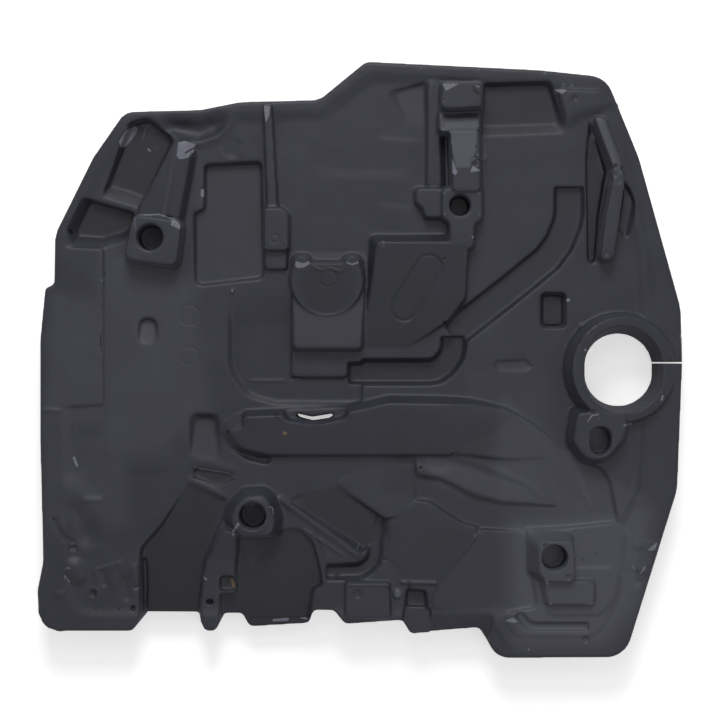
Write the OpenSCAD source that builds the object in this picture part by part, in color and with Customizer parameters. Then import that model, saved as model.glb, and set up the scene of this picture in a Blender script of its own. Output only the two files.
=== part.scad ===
// Moulded foam engine cover, lying on its outer face with the engine side up.
// X runs to the right, Y to the rear edge and Z away from the outer face.
// The origin is under the middle of the part, on the plane it rests on.
// Places are plan coordinates in millimetres from the middle; at() stretches
// them with the overall width and depth, while heights and bores stay as set.

/* [Overall] */
// Width across the two side edges
cover_w = 647; // [600:1:700]
// Depth from the front edge to the rear edge
cover_d = 598; // [560:1:640]
// Height of the rim above the rest plane
rim_h = 43; // [42:0.5:46]
// Height of the moulded floor inside the rim
floor_h = 40; // [38:0.5:41]

/* [Outer skin] */
// Inset of the flat outer panel from the side edges
panel_inset = 62; // [50:1:75]
// Height at which the outer skin turns up into the skirt
skirt_h = 24; // [20:1:28]
// Rounding of the rim's top edge
rim_round = 2; // [1:0.5:3]

/* [Stud sockets] */
// Bore for the rubber stud grommets
stud_bore_d = 26; // [22:0.5:30]
// Bore in the tower socket
tower_bore_d = 21; // [18:0.5:24]
// Bore in the ring socket at the front left
ring_bore_d = 27; // [22:0.5:30]
// Depth of each socket below its face
stud_bore_l = 28; // [20:1:30]
// Width of the slotted locating socket
slot_bore_d = 23; // [18:0.5:26]
// Length of the slotted locating socket
slot_bore_len = 28; // [26:0.5:34]
// Face height of the rear left socket
rear_boss_h = 62; // [56:1:66]
// Face height of the tower socket
tower_boss_h = 57; // [54:1:62]
// Face height of the slotted socket
slot_boss_h = 61; // [56:1:64]
// Face height of the front right socket
front_boss_h = 60; // [57:1:64]
// Face height of the ring socket
ring_boss_h = 59; // [56:1:64]
// Outer diameter of the ring round the front left socket
ring_od = 36; // [33:0.5:40]
// Height of that ring above its boss
ring_rise = 2; // [1:0.5:4]

/* [Oil filler opening] */
// Radius of the opening at the outer face
filler_r = 33; // [28:0.5:36]
// Radius of the opening at the top of the collar
filler_mouth_r = 41; // [37:0.5:43]
// Extra length of the opening along Y
filler_stretch = 7; // [4:0.5:9]
// Top radius of the collar
collar_r = 50; // [48:0.5:52]
// Height of the collar at its left side
collar_h = 66; // [60:1:70]
// Height of the collar at its right side
collar_low_h = 48; // [46:1:56]
// Radius of the collar at its foot
collar_base_r = 57; // [54:0.5:59]
// Width of the slit from the opening to the right edge
slit_w = 1.4; // [0.8:0.1:3]

/* [Raised forms] */
// Height of the left ledge
ledge_h = 43; // [42:0.5:48]
// Height of the buttress behind the rear left socket
buttress_h = 56; // [52:1:58]
// Height of the clip strip's bar
strip_h = 48; // [45:0.5:52]
// Height of the clip strip's head
strip_head_h = 52; // [49:0.5:56]
// Height of the step below the clip strip
strip_step_h = 45; // [42:0.5:47]
// Height of the sensor block at its front edge
block_h = 53; // [48:1:56]
// Height of the sensor cup at its rear edge
cup_h = 57; // [54:1:62]
// Radius of the sensor cup
cup_r = 38.5; // [34:0.5:41]
// Height of the coil plateau at its rear edge
plateau_h = 57; // [52:1:58]
// Height of the tower's rear pad
tower_pad_h = 66; // [62:1:72]
// Height of the tower's worn face
tower_face_h = 60; // [58:1:63]
// Height of the tab on the tower's left side
tower_tab_h = 52; // [48:1:55]
// Height of the pipe arm
arm_h = 58; // [54:1:64]
// Height of the long rail at its rear edge
rail_h = 58; // [52:1:62]
// Height of the long rail at its front edge
rail_low_h = 46; // [43:0.5:49]
// Height of the leaf-shaped ramp at its front edge
leaf_h = 46; // [44:0.5:50]
// Height of the shoulder round the front right socket
corner_h = 44.5; // [44:0.5:48]
// Height of the step in front of the front right socket
corner_step_h = 53; // [50:0.5:56]
// Height of the strip along the right edge, beside the slotted socket
right_strip_h = 44.5; // [43:0.5:48]

/* [Recesses] */
// Floor height of the rear left corner recess
corner_recess_h = 28; // [24:1:34]
// Floor height of the pocket in front of it
corner_pocket_h = 26; // [22:1:34]
// Floor height of the cable recess
cable_recess_h = 31; // [27:0.5:36]
// Floor height of the bay round the sensor block
bay_h = 36; // [33:0.5:38]
// Floor height of the rear recess beside the tower
rear_recess_h = 31; // [26:0.5:36]
// Floor height of the connector pocket
connector_h = 25; // [20:1:32]
// Floor height of the upper hose channel
hose_high_h = 33; // [30:0.5:36]
// Floor height of the lower hose channel
hose_low_h = 29; // [26:0.5:33]
// Width of the hose channels' floor
hose_w = 20; // [14:0.5:23]
// Floor height of the runner chutes at the front edge
chute_h = 26; // [23:1:30]
// Lowest height of the pockets beside the pipe arm
arm_pocket_h = 17; // [14:1:28]
// Depth of the shallow shelf in the long rail's rear wall, below its edge
shelf_drop = 15; // [12:1:18]

/* [Hidden] */

foam = "#3b3c42";
plan_w = 647;
plan_d = 598;
arc_step = 38;
small_r = 4.5;
round_fn = 48;
clearance_up = 30;

// Plan point or length pair, stretched to the overall size.
function at(p) = [p[0] * cover_w / plan_w, p[1] * cover_d / plan_d];
function at_y(y) = y * cover_d / plan_d;

// Vector helpers.
function unit(v) = v / norm(v);
function left_of(d) = [-d[1], d[0]];
function mean(p) = [for (k = [0, 1]) [for (q = p) 1] * [for (q = p) q[k]] / len(p)];
function area(p) = [for (i = [0:len(p) - 1]) let (q = p[(i + 1) % len(p)])
    p[i][0] * q[1] - q[0] * p[i][1]] * [for (q = p) 0.5];

// Corners [x, y, radius, lean of the edge that follows], placed and turned counter-clockwise.
function lean_of(c) = is_undef(c[3]) ? 1 : c[3];
function placed(corners) =
    let (n = len(corners), p = [for (c = corners) concat(at(c), c[2], lean_of(c))])
    area(p) > 0 ? p : [for (i = [n - 1:-1:0]) [p[i][0], p[i][1], p[i][2], p[(i + n - 1) % n][3]]];

// Planes are [height at the middle, slope along X, slope along Y].
function level(h) = [h, 0, 0];
function tilt(y_a, h_a, y_b, h_b) =
    let (ya = at_y(y_a), yb = at_y(y_b), g = (h_b - h_a) / (yb - ya)) [h_a - g * ya, 0, g];
function plane_at(plane, p) = plane[0] + plane[1] * p[0] + plane[2] * p[1];
function plane_by(a, b, c) =
    let (
        pa = at(a), pb = at(b), pc = at(c),
        n = cross([pb[0] - pa[0], pb[1] - pa[1], b[2] - a[2]],
                  [pc[0] - pa[0], pc[1] - pa[1], c[2] - a[2]])
    ) [a[2] + (n[0] * pa[0] + n[1] * pa[1]) / n[2], -n[0] / n[2], -n[1] / n[2]];

// Corners [x, y, radius]: how many steps the arc at corner b takes.
function turn(a, b, c) = let (u = unit(b - a), v = unit(c - b)) acos(max(-1, min(1, u * v)));
function steps(a, b, c, r) = r <= 0 ? 0 : r < small_r ? 1 : ceil(turn(a, b, c) / arc_step);

// The arc of radius r that rounds corner b between a and c.
function arc(a, b, c, r, n) = n == 0 ? [b] :
    let (
        u = unit(a - b),
        v = unit(c - b),
        half = acos(max(-1, min(1, u * v))) / 2,
        reach = min(r / tan(half), 0.49 * norm(a - b), 0.49 * norm(c - b)),
        radius = reach * tan(half),
        middle = b + unit(u + v) * radius / sin(half),
        from = b + u * reach - middle,
        to = b + v * reach - middle,
        a0 = atan2(from[1], from[0]),
        turn_raw = atan2(to[1], to[0]) - a0,
        sweep = turn_raw > 180 ? turn_raw - 360 : turn_raw < -180 ? turn_raw + 360 : turn_raw
    ) [for (i = [0:n]) middle + radius * [cos(a0 + sweep * i / n), sin(a0 + sweep * i / n)]];

// Placed corners moved inwards, each edge by its lean times the corner's distance, then rounded.
function inward(c, i, dist) =
    let (
        n = len(c),
        prev = c[(i + n - 1) % n],
        p = [c[i][0], c[i][1]],
        n1 = left_of(unit(p - [prev[0], prev[1]])),
        n2 = left_of(unit([c[(i + 1) % n][0], c[(i + 1) % n][1]] - p)),
        d1 = dist * prev[3],
        d2 = dist * c[i][3],
        k = n1 * n2
    ) k > 0.97 || d1 == d2 ? p + (n1 + n2) / (1 + k) * (d1 + d2) / 2
        : p + ((d1 - d2 * k) * n1 + (d2 - d1 * k) * n2) / (1 - k * k);
function outline(c, dist) =
    let (
        n = len(c),
        p = [for (q = c) [q[0], q[1]]],
        q = [for (i = [0:n - 1]) inward(c, i, dist[i])],
        s = [for (i = [0:n - 1]) steps(p[(i + n - 1) % n], p[i], p[(i + 1) % n], c[i][2])]
    ) [for (i = [0:n - 1]) each arc(q[(i + n - 1) % n], q[i], q[(i + 1) % n], c[i][2], s[i])];

// Closed skin over a stack of rings with equal counts, capped by fans about two hubs.
module stack(rings, hub_low, hub_high) {
    n = len(rings[0]);
    m = len(rings);
    points = concat([for (ring = rings) each ring], [hub_low, hub_high]);
    polyhedron(
        points = points,
        faces = concat(
            [for (k = [0:m - 2], i = [0:n - 1]) let (j = (i + 1) % n)
                [k * n + i, (k + 1) * n + j, k * n + j]],
            [for (k = [0:m - 2], i = [0:n - 1]) let (j = (i + 1) % n)
                [k * n + i, (k + 1) * n + i, (k + 1) * n + j]],
            [for (i = [0:n - 1]) [m * n, i, (i + 1) % n]],
            [for (i = [0:n - 1]) [m * n + 1, (m - 1) * n + (i + 1) % n, (m - 1) * n + i]]
        ),
        convexity = 6
    );
}

// Drafted form between a flat end and a face in a plane. The corners hold at height
// `line`; the walls lean by `draft` for each millimetre away from it.
module drafted(corners, line, end, plane, draft, hub) {
    c = placed(corners);
    low = [for (q = c) -draft * (line - end)];
    high = [for (q = c) draft * (plane_at(plane, q) - line)];
    h = is_undef(hub) ? mean(c) : at(hub);
    stack(
        [[for (q = outline(c, low)) [q[0], q[1], end]],
         [for (q = outline(c, high)) [q[0], q[1], plane_at(plane, q)]]],
        [h[0], h[1], end], [h[0], h[1], plane_at(plane, h)]
    );
}

// Form that stands on the floor, rooted below it.
module raised(corners, plane, draft = 0.15, foot = floor_h, root = 13, hub = undef)
    drafted(corners, foot, foot - root, plane, draft, hub);

// Recess cut down from its mouth to a plane, wider above.
module sunk(corners, plane, draft = 0.3, mouth = floor_h, over = clearance_up, hub = undef) {
    c = placed(corners);
    low = [for (q = c) draft * (mouth - plane_at(plane, q))];
    high = [for (q = c) -draft * over];
    h = is_undef(hub) ? mean(c) : at(hub);
    stack(
        [[for (q = outline(c, low)) [q[0], q[1], plane_at(plane, q)]],
         [for (q = outline(c, high)) [q[0], q[1], mouth + over]]],
        [h[0], h[1], plane_at(plane, h)], [h[0], h[1], mouth + over]
    );
}

// Corners on a circle about p, from angle a_0 to a_1 in steps.
function circle_corners(p, r, step, a_0 = 0, a_1 = 359) =
    [for (a = [a_0:step:a_1]) [p[0] + r * cos(a), p[1] + r * sin(a), 0]];

// Open path [x, y, radius] with its inner corners rounded.
function path(c) =
    let (p = [for (q = c) at(q)], n = len(p))
    [for (i = [0:n - 1]) each (i == 0 || i == n - 1) ? [p[i]]
        : arc(p[i - 1], p[i], p[i + 1], c[i][2], steps(p[i - 1], p[i], p[i + 1], c[i][2]))];

// Trapezoid swept along a path, w_low wide at h_low and w_high wide at h_high.
module swept(corners, w_low, h_low, w_high, h_high) {
    p = path(corners);
    n = len(p);
    side = [for (i = [0:n - 1])
        let (
            n1 = left_of(unit(p[max(i, 1)] - p[max(i, 1) - 1])),
            n2 = left_of(unit(p[min(i, n - 2) + 1] - p[min(i, n - 2)]))
        ) (n1 + n2) / (1 + n1 * n2)];
    section = [[-w_low / 2, h_low], [w_low / 2, h_low], [w_high / 2, h_high], [-w_high / 2, h_high]];
    points = [for (i = [0:n - 1], s = section) let (q = p[i] + side[i] * s[0]) [q[0], q[1], s[1]]];
    polyhedron(
        points = points,
        faces = concat(
            [for (i = [0:n - 2], k = [0:3]) let (j = (k + 1) % 4)
                [4 * i + k, 4 * i + 4 + j, 4 * i + j]],
            [for (i = [0:n - 2], k = [0:3]) let (j = (k + 1) % 4)
                [4 * i + k, 4 * i + 4 + k, 4 * i + 4 + j]],
            [[0, 1, 2, 3]],
            [[4 * n - 1, 4 * n - 2, 4 * n - 3, 4 * n - 4]]
        ),
        convexity = 6
    );
}

// Edge of the part seen from above, with its notches along the front.
edge = [
    [-307, 76, 3], [-316, 72, 3], [-321, 20, 60], [-321, -80, 80], [-318, -202, 20],
    [-324, -232, 14], [-321, -272, 27], [-228, -272, 6], [-219, -256, 5], [-163, -256.5, 5],
    [-155.5, -272, 4], [-145, -272, 4], [-138, -257, 5], [-120, -257, 5], [-112, -271.5, 4],
    [-52, -267.5, 5], [-47, -251, 5], [-26, -251.5, 6], [-15, -265, 6], [42, -261, 5],
    [51, -275.5, 5], [120, -269.5, 6], [138, -299, 20], [266, -298.5, 26], [318.5, -130, 30],
    [323.5, -3, 90], [322, 52, 40], [280, 203, 60], [247, 284, 26], [180, 291, 60],
    [6, 299.5, 14], [-41, 261, 14], [-120, 259, 40], [-160, 251, 20], [-236, 249, 18],
    [-268, 203, 20], [-306, 126, 20]
];
edge_hub = [-50, 110];

// Outer skin: the edge outline drawn in towards the flat panel it rests on.
module shell() {
    base = outline(placed(edge), [for (c = edge) 0]);
    half = cover_d / 2;
    profile = [
        [panel_inset, 0], [panel_inset * 0.55, skirt_h * 0.2], [panel_inset * 0.2, skirt_h * 0.55],
        [panel_inset * 0.03, skirt_h], [0, rim_h - rim_round], [rim_round, rim_h]
    ];
    rings = [for (s = profile) [for (q = base) concat(q * (1 - s[0] / half), s[1])]];
    hub = at(edge_hub);
    stack(rings, [hub[0], hub[1], 0], [hub[0], hub[1], rim_h]);
}

// Moulded floor inside the rim.
module floor_cut() {
    sunk([
        [-232, 239, 10], [-118, 248, 20], [-38, 250, 12], [10, 288, 12], [180, 279, 30],
        [236, 272, 20], [262, 210, 30], [285, 105, 40], [289, -10, 60], [287, -130, 40],
        [270, -200, 30], [250, -258, 20], [-296, -258, 24], [-299, 70, 10], [-297, 125, 20],
        [-275, 170, 15], [-261, 195, 15], [-242, 222, 10]
    ], level(floor_h), draft = 3, mouth = rim_h, over = 4, hub = [0, 0]);
}

// Recess and pocket behind and beside the rear left socket.
module rear_left_recesses() {
    sunk([[-230, 238, 6, 0.4], [-212, 243, 8, 0.4], [-186, 222, 4, 0.4], [-220, 152, 2, 3],
        [-259, 164, 2, 0.4], [-240, 215, 8, 0.4]],
        tilt(240, corner_recess_h, 160, corner_recess_h + 3), draft = 0.5);
    sunk([[-277, 163, 3, 0.3], [-225, 148, 3, 0.6], [-229, 130, 8, 1], [-240, 117, 8, 2.4],
        [-258, 112, 8, 2.4], [-288, 114, 8, 1.6], [-293, 130, 8, 1.6]],
        level(corner_pocket_h + 3), draft = 0.45);
}

// Shallow recess for the cable run, left of the clip strip.
module cable_recess() {
    sunk([[-157, 197, 3], [-98, 200, 3], [-96, 81, 5, 3], [-166, 73, 6, 2], [-168, 148, 3],
        [-157, 152, 3]],
        plane_by([-157, 197, cable_recess_h], [-98, 200, cable_recess_h], [-166, 73, cable_recess_h + 5]),
        draft = 0.25);
}

// Bay that the sensor block stands in.
module sensor_bay() {
    sunk([[-133, 64, 10, 1], [-133, -10, 24, 1], [-114, -38, 24, 1], [-84, -45.5, 12, 1],
        [3, -46, 6, 0.4], [3, 66, 4, 6]], level(bay_h), draft = 1.2);
}

// Recess and channel on the two sides of the mount tower.
module tower_recesses() {
    sunk([[118, 277, 2, 0.3], [118, 224, 2, 4], [208, 227, 4, 1.2], [191, 279, 5, 1]],
        level(rear_recess_h + 2), draft = 0.4);
    sunk([[81, 232, 2], [92, 230, 2], [93, 170, 2], [84, 170, 2]],
        level(rear_recess_h + 1), draft = 0.2);
    sunk([[27, 269, 3, 0.6], [72, 281, 2, 0.6], [68, 238, 2, 2], [48, 238, 4, 2.5]],
        tilt(280, floor_h - 4, 236, floor_h), draft = 0.8);
}

// Square pocket for a connector.
module connector_pocket() {
    sunk([[181, 68, 3], [207, 68, 3], [207, 32, 3], [181, 32, 3]], level(connector_h), draft = 0.2);
}

// Channel for the hose, in two stretches at two depths.
module hose_channels() {
    high_w = hose_w + 5;
    swept([[210, 174, 0], [210, 142, 30], [196, 108, 40], [152, 72, 60], [92, 25, 0]],
        high_w, hose_high_h, high_w + 2 * (floor_h - hose_high_h + 12) * 0.45, floor_h + 12);
    swept([[94, 24, 0], [94, 6, 22], [78, -12, 18], [-12, -12, 0]],
        hose_w, hose_low_h, hose_w + 2 * (floor_h - hose_low_h + 14) * 0.35, floor_h + 14);
}

// Scooped pockets left of the long rail and below the left floor.
module scoops() {
    sunk([[-173, -52, 8, 0.8], [-139, -53, 8], [-140, -100, 8, 2.5], [-171, -100, 8]],
        tilt(-54, floor_h - 9, -100, floor_h), draft = 0.8);
    sunk([[-167, -107, 4, 0.5], [-130, -113, 4, 0.5], [-124, -119, 5, 2], [-142, -127, 8, 2],
        [-168, -118, 4, 0.5]], tilt(-107, floor_h - 6, -127, floor_h - 1), draft = 0.6);
    sunk([[-223, 43, 9], [-203, 43, 9], [-203, 15, 9, 2], [-223, 15, 9]],
        tilt(43, floor_h - 7, 15, floor_h - 0.5), draft = 0.4);
    sunk([[-137, -86, 3, 0.5], [-128, -86, 3, 0.5], [-89, -93, 3, 0.5], [-89, -107, 4, 1.5],
        [-113, -101, 6, 1.5]], level(floor_h - 4), draft = 0.5);
}

// Chutes for the intake runners, falling towards the front edge.
module runner_chutes() {
    lip_y = -262;
    sunk([[-173, -124, 5], [-132, -140, 5], [-139, -163, 5], [-155, -200, 5], [-159, -240, 3],
        [-161, -285, 1], [-221, -285, 1], [-222, -240, 3], [-221, -188, 12, 2], [-200, -165, 12, 2]],
        tilt(-124, floor_h - 1, -258, chute_h), draft = 0.25, hub = [-190, -200]);
    sunk([[-124, -174, 5, 2.5], [-62, -168, 10, 2.5], [-47, -182, 8], [-39, -210, 6], [-37, -226, 2],
        [-46, -231, 2], [-50, lip_y, 4], [-52, -285, 1, 0.2], [-141, -285, 1, 0.2], [-141, -232, 2],
        [-127, -230, 2]],
        tilt(-170, floor_h - 3, lip_y, chute_h + 1), draft = 0.3, hub = [-117, -239]);
    sunk([[-124, lip_y, 1, 0.1], [-44, lip_y, 1], [-40, -290, 1], [-128, -290, 1]],
        tilt(lip_y, chute_h + 4, -272, chute_h), draft = 0.1);
}

// Sloping facet and hooked hose groove in front of the long rail.
module front_facets() {
    sunk([[-75, -140, 3, 0.4], [-25, -126, 4, 0.4], [25, -160, 4], [13, -186, 6], [0, -196, 6]],
        tilt(-127, floor_h - 0.5, -196, floor_h - 9), draft = 0.3);
    swept([[22, -158, 0], [15, -180, 14], [15, -203, 16], [0, -212, 8], [-34, -213, 0]],
        8, floor_h - 7, 22, floor_h + 2);
    sunk([[46, -229, 2], [67, -231, 2], [69, -250, 2], [44, -249, 2]], level(floor_h - 9),
        draft = 0.25);
    sunk([[70, -255, 2, 0.3], [121, -246, 2, 0.3], [133, -258, 2, 0.3], [128, -290, 2],
        [70, -290, 2]], tilt(-250, rim_h, -276, rim_h - 9), draft = 0.2);
    sunk([[44, -247, 1, 0.3], [71, -249, 1, 0.3], [71, -290, 1], [40, -290, 1]],
        tilt(-247, floor_h - 5, -276, floor_h - 1), draft = 0.2);
}

// Deep pockets on both sides of the pipe arm.
module arm_pockets() {
    sunk([[231, 243, 1], [250, 190, 3], [242, 145, 6], [238, 97, 4], [229, 97, 4], [227, 200, 8]],
        plane_by([228, 97, arm_pocket_h + 16], [227, 200, arm_pocket_h + 16], [245, 150, arm_pocket_h]),
        draft = 0.1, hub = [235, 170]);
    sunk([[258, 198, 3], [267, 178, 6, 0.6], [275, 158, 8, 0.6], [274, 132, 6, 0.6],
        [268, 118, 4], [257, 132, 4], [255, 165, 6]],
        plane_by([275, 158, floor_h - 1], [268, 118, floor_h - 1], [256, 150, arm_pocket_h + 5]),
        draft = 0.4);
}

// Ledge along the left edge.
module left_ledge() {
    raised([[-301, 114, 4], [-257, 112, 2], [-257, -45, 2], [-301, -48, 4]], level(ledge_h),
        draft = 0.2);
}

// Wedge that braces the rear left socket, and the socket's own boss.
module rear_left_boss() {
    ridge_a = [-181, 219, buttress_h];
    ridge_b = [-196, 142, buttress_h];
    raised([[-184, 221, 1, 0.3], [-180, 219, 1, 0], [-194, 138, 1], [-224, 140, 1],
        [-221, 153, 2, 0.3]], plane_by(ridge_a, ridge_b, [-222, 148, buttress_h - 7]), draft = 0.2);
    raised([[-183, 221, 1], [-172, 221, 4, 1.4], [-163, 208, 8, 1.4], [-176, 138, 1],
        [-200, 138, 1, 0]], plane_by(ridge_a, ridge_b, [-170, 208, buttress_h - 4]), draft = 0.4,
        root = 12);
    raised([[-227, 147, 8], [-174, 140, 8], [-180, 90, 8], [-237, 98, 8]], level(rear_boss_h),
        draft = 0.12);
}

// Strip with a head that holds a cable clip.
module clip_strip() {
    raised([[-97, 256, 1.5], [-88, 256, 1.5], [-82, 150, 1.5], [-93, 150, 1.5]],
        level(strip_h), draft = 0.06, root = 12);
    raised([[-97, 153, 2], [-78, 153, 4], [-70, 146, 3], [-70, 108, 3], [-97, 108, 3]],
        level(strip_head_h), draft = 0.12, root = 14);
    raised([[-96, 111, 2], [-72, 111, 2], [-72, 90, 2], [-96, 90, 2]], level(strip_step_h),
        draft = 0.25, root = 15);
}

// Block that rises to the front, with the cup of the sensor on it.
module sensor_block() {
    cup = [-33, 80.5];
    top = tilt(96, cup_h, 46, cup_h - 8);
    ear_r = 11.5;
    raised([[-69, 106, 3], [7, 106, 3], [4, 9, 5, 0.8], [-69, 9, 5]],
        tilt(106, floor_h + 0.5, 16, block_h), draft = 0.2);
    raised([[-69.5, 16, 3], [3, 16, 3], [3, -3, 3], [-12, -3, 1], [-12, -20, 3, 3], [-69.5, -20, 3]],
        level(bay_h + 4.5), draft = 0.3, foot = bay_h, root = 8, hub = [-40, 2]);
    raised(circle_corners(cup, cup_r, 16, 150, 390), top, draft = 0.2, root = 10);
    for (side = [-1, 1])
        raised(circle_corners([cup[0] + side * 25, 96], ear_r, 30, 15), top + [0.3, 0, 0],
            draft = 0.2, root = 12);
}

// Plateau that falls from the tower to the front, over the coils.
module coil_plateau() {
    raised([[9, 126, 5], [101, 126, 3, 0.2], [109, 112, 3, 0.2], [106, 60, 6, 0.6], [88, 37, 3],
        [51, 14, 5], [2, 14, 4]], tilt(118, plateau_h, 14, floor_h + 1.5), draft = 0.48, root = 14);
}

// Mount tower: rear pad, ramp, worn face, socket pad, side tab and edge strip.
module mount_tower() {
    raised([[79, 278, 2], [124, 278, 2], [123, 248, 2], [79, 246, 2]], level(tower_pad_h),
        draft = 0.1, root = 16);
    raised([[77, 250, 2], [122, 250, 2], [121, 224, 3], [76, 224, 3]],
        tilt(250, 50, 226, tower_face_h), draft = 0.12, root = 17);
    raised([[88, 230, 2], [121, 230, 2], [122, 165, 3], [90, 165, 3]], level(tower_face_h),
        draft = 0.12, root = 15);
    raised([[80, 173, 4], [123, 173, 4], [123, 140, 4], [115, 134, 4], [115, 110, 3], [88, 110, 3],
        [88, 136, 4], [80, 141, 4]], level(tower_boss_h), draft = 0.1, root = 18, hub = [101, 150]);
    raised([[54, 173, 3], [84, 173, 2], [84, 141, 2], [64, 141, 2], [61, 151, 2], [54, 157, 2]],
        level(tower_tab_h), draft = 0.15, root = 12);
    raised([[66, 281, 2], [80, 281, 2], [84, 172, 2], [65, 172, 2]], level(rim_h + 1.5),
        draft = 0.6, root = 11);
}

// Step in the rear right corner.
module rear_right_step() {
    raised([[195, 273, 3, 0.6], [240, 271, 6, 0.6], [255, 258, 5, 1], [250, 246, 6, 3],
        [222, 240, 3, 3], [207, 229, 3, 1.2]], level(rim_h + 2.5), draft = 0.6, hub = [225, 261]);
}

// Arm for the pipe bracket: a ramp and a long pad.
module pipe_arm() {
    raised([[233, 244, 2], [245, 244, 3], [264, 190, 2], [250, 190, 2]],
        tilt(244, rim_h + 4, 190, arm_h), draft = 0.1, root = 19);
    raised([[249, 192, 2], [262, 192, 3], [264, 174, 4], [259, 138, 6], [253, 98, 8], [237, 97, 8],
        [243, 145, 6], [250, 178, 3]], level(arm_h), draft = 0.08, root = 20, hub = [257, 160]);
}

// Collar round the oil filler opening.
module filler_collar() {
    middle = [260, -9];
    left = [middle[0] - collar_r, middle[1], collar_h];
    right = [middle[0] + collar_r, middle[1], collar_low_h];
    rear = [middle[0], middle[1] + collar_r, (collar_h + collar_low_h) / 2];
    raised(circle_corners(middle, collar_base_r, 9), plane_by(left, right, rear),
        draft = (collar_base_r - collar_r) / (collar_h - floor_h), root = 9);
}

// Raised strip along the right edge and the slotted socket's boss.
module slotted_boss() {
    raised([[205, -70, 8], [205, -86, 10], [219, -102, 8], [241, -110, 6], [249, -122, 6],
        [257, -163, 2, 3], [264, -168, 2, 3], [287, -128, 10, 3], [290, -50, 6], [215, -50, 6]],
        level(right_strip_h), draft = 0.6, hub = [262, -90]);
    raised([[211, -46, 6], [205, -82, 14], [222, -106, 18], [247, -104, 18], [268, -80, 12],
        [272, -46, 6]], level(slot_boss_h), draft = 0.3, root = 14);
}

// Long rail across the middle: nose, main length and falling tail.
module long_rail() {
    crest = tilt(-42, rail_h, -95, rail_low_h);
    bend_a = [86, -42, rail_h - 0.1];
    bend_b = [86, -95, rail_low_h - 0.1];
    fold = [160, -56, floor_h + 5.5];
    raised([[-141, -74, 10], [-137, -61, 8], [-120, -51, 10], [-97, -47, 1, 0], [-97, -97, 1, 0.6],
        [-127, -89, 8]], crest - [0.4, 0, 0], draft = 1.1, root = 4);
    raised([[-118, -91, 3, 0.3], [-118, -50, 3], [-15, -46, 12], [5, -41, 10], [28, -35, 10],
        [88, -36, 1, 0], [88, -97, 1], [-92, -97, 4]], crest, draft = 0.42, root = 14,
        hub = [-50, -76]);
    raised([[86, -36, 1], [112, -38, 20], [145, -46, 20], [160, -54, 1, 0], [86, -97, 1, 0]],
        plane_by(bend_a, bend_b, fold), draft = 0.42, root = 15, hub = [100, -60]);
    raised([[86, -96, 1], [159, -54, 1], [172, -62, 8], [206, -88, 3, 2.5], [190, -98, 10, 2.5],
        [150, -101, 10, 2.5]],
        plane_by(bend_b, fold, [206, -88, floor_h + 0.5]), draft = 0.3, root = 14);
}

// Leaf-shaped ramp in front of the rail's tail.
module leaf_ramp() {
    raised([[54, -97, 2], [85, -94, 6], [110, -103, 10], [140, -110, 10], [165, -119, 8],
        [181, -130, 8], [202, -148, 1, 3.6], [170, -147, 8, 3.6], [140, -146, 8, 3.6],
        [115, -140, 8, 3.6], [98, -132, 8, 3.6], [80, -122, 8, 3.6], [54, -119, 2, 2]],
        plane_by([85, -95, floor_h + 0.5], [181, -130, floor_h + 0.5], [110, -135, leaf_h]),
        draft = 0.26, root = 4, hub = [118, -121]);
}

// Soft shoulder between the rail and the facet, with its crest along the facet.
module facet_shoulder() {
    raised([[-24, -124, 2, 4], [-8, -112, 8, 4], [55, -100, 2, 0.3], [55, -152, 2], [26, -160, 2, 0.3]],
        tilt(-112, floor_h + 0.3, -155, floor_h + 3.5), draft = 0.3, root = 6);
}

// Two slabs between the leaf ramp and the front edge.
module front_slabs() {
    raised([[54, -139, 3, 0.8], [70, -140, 10, 0.8], [84, -150, 12, 0.8], [102, -161, 12, 0.8],
        [124, -168, 3, 0.8], [79, -224, 2, 1.6], [49, -225, 2, 1.6], [40, -208, 8, 1.6],
        [28, -198, 8, 1.6], [27, -164, 4, 1.6]],
        plane_by([54, -141, floor_h + 4.5], [122, -168, floor_h + 5], [60, -222, floor_h + 0.5]),
        draft = 0.6, root = 8, hub = [70, -190]);
    raised([[121, -168, 2, 0.7], [164, -171, 3, 0.7], [177, -246, 3, 0.7], [122, -249, 4, 0.7],
        [72, -250, 3, 0.7], [72, -236, 3, 0.7], [79, -224, 3, 0.7]],
        plane_by([119, -174, floor_h + 5], [170, -172, floor_h + 2.5], [80, -232, floor_h + 3]),
        draft = 0.6, root = 10, hub = [112, -236]);
}

// Corner block at the front right with the socket pad and the step in front of it.
module front_right_block() {
    raised([[163, -168, 5], [206, -166, 5], [256, -161, 5, 2], [274, -176, 10, 4],
        [270, -240, 20, 4], [246, -285, 20, 3], [154, -285, 12, 2], [134, -254, 8], [176, -246, 4]],
        level(corner_h), draft = 0.7, root = 4, hub = [216, -261]);
    raised([[184, -205, 2], [253, -204, 5], [266, -216, 10, 2], [262, -240, 16, 2],
        [244, -262, 12, 2], [184, -262, 4]], level(corner_h + 2), draft = 0.6, root = 6);
    raised([[164, -168, 8, 0.9], [213, -168, 6, 0.1], [215, -222, 4, 0.1], [176, -222, 4, 0.6],
        [166, -212, 4, 0.9]], level(front_boss_h), draft = 0.72, root = 12);
    raised([[174, -218, 3, 0.3], [238, -218, 3, 0.6], [238, -248, 3, 0.6], [180, -248, 3, 1.2]],
        level(corner_step_h), draft = 0.6, root = 11);
}

// Pad at the middle of the front edge.
module front_pad() {
    raised([[-15, -222, 2], [30, -222, 2], [31, -259, 3], [-15, -259, 3]], level(rim_h + 3),
        draft = 0.1, root = 16);
}

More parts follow.
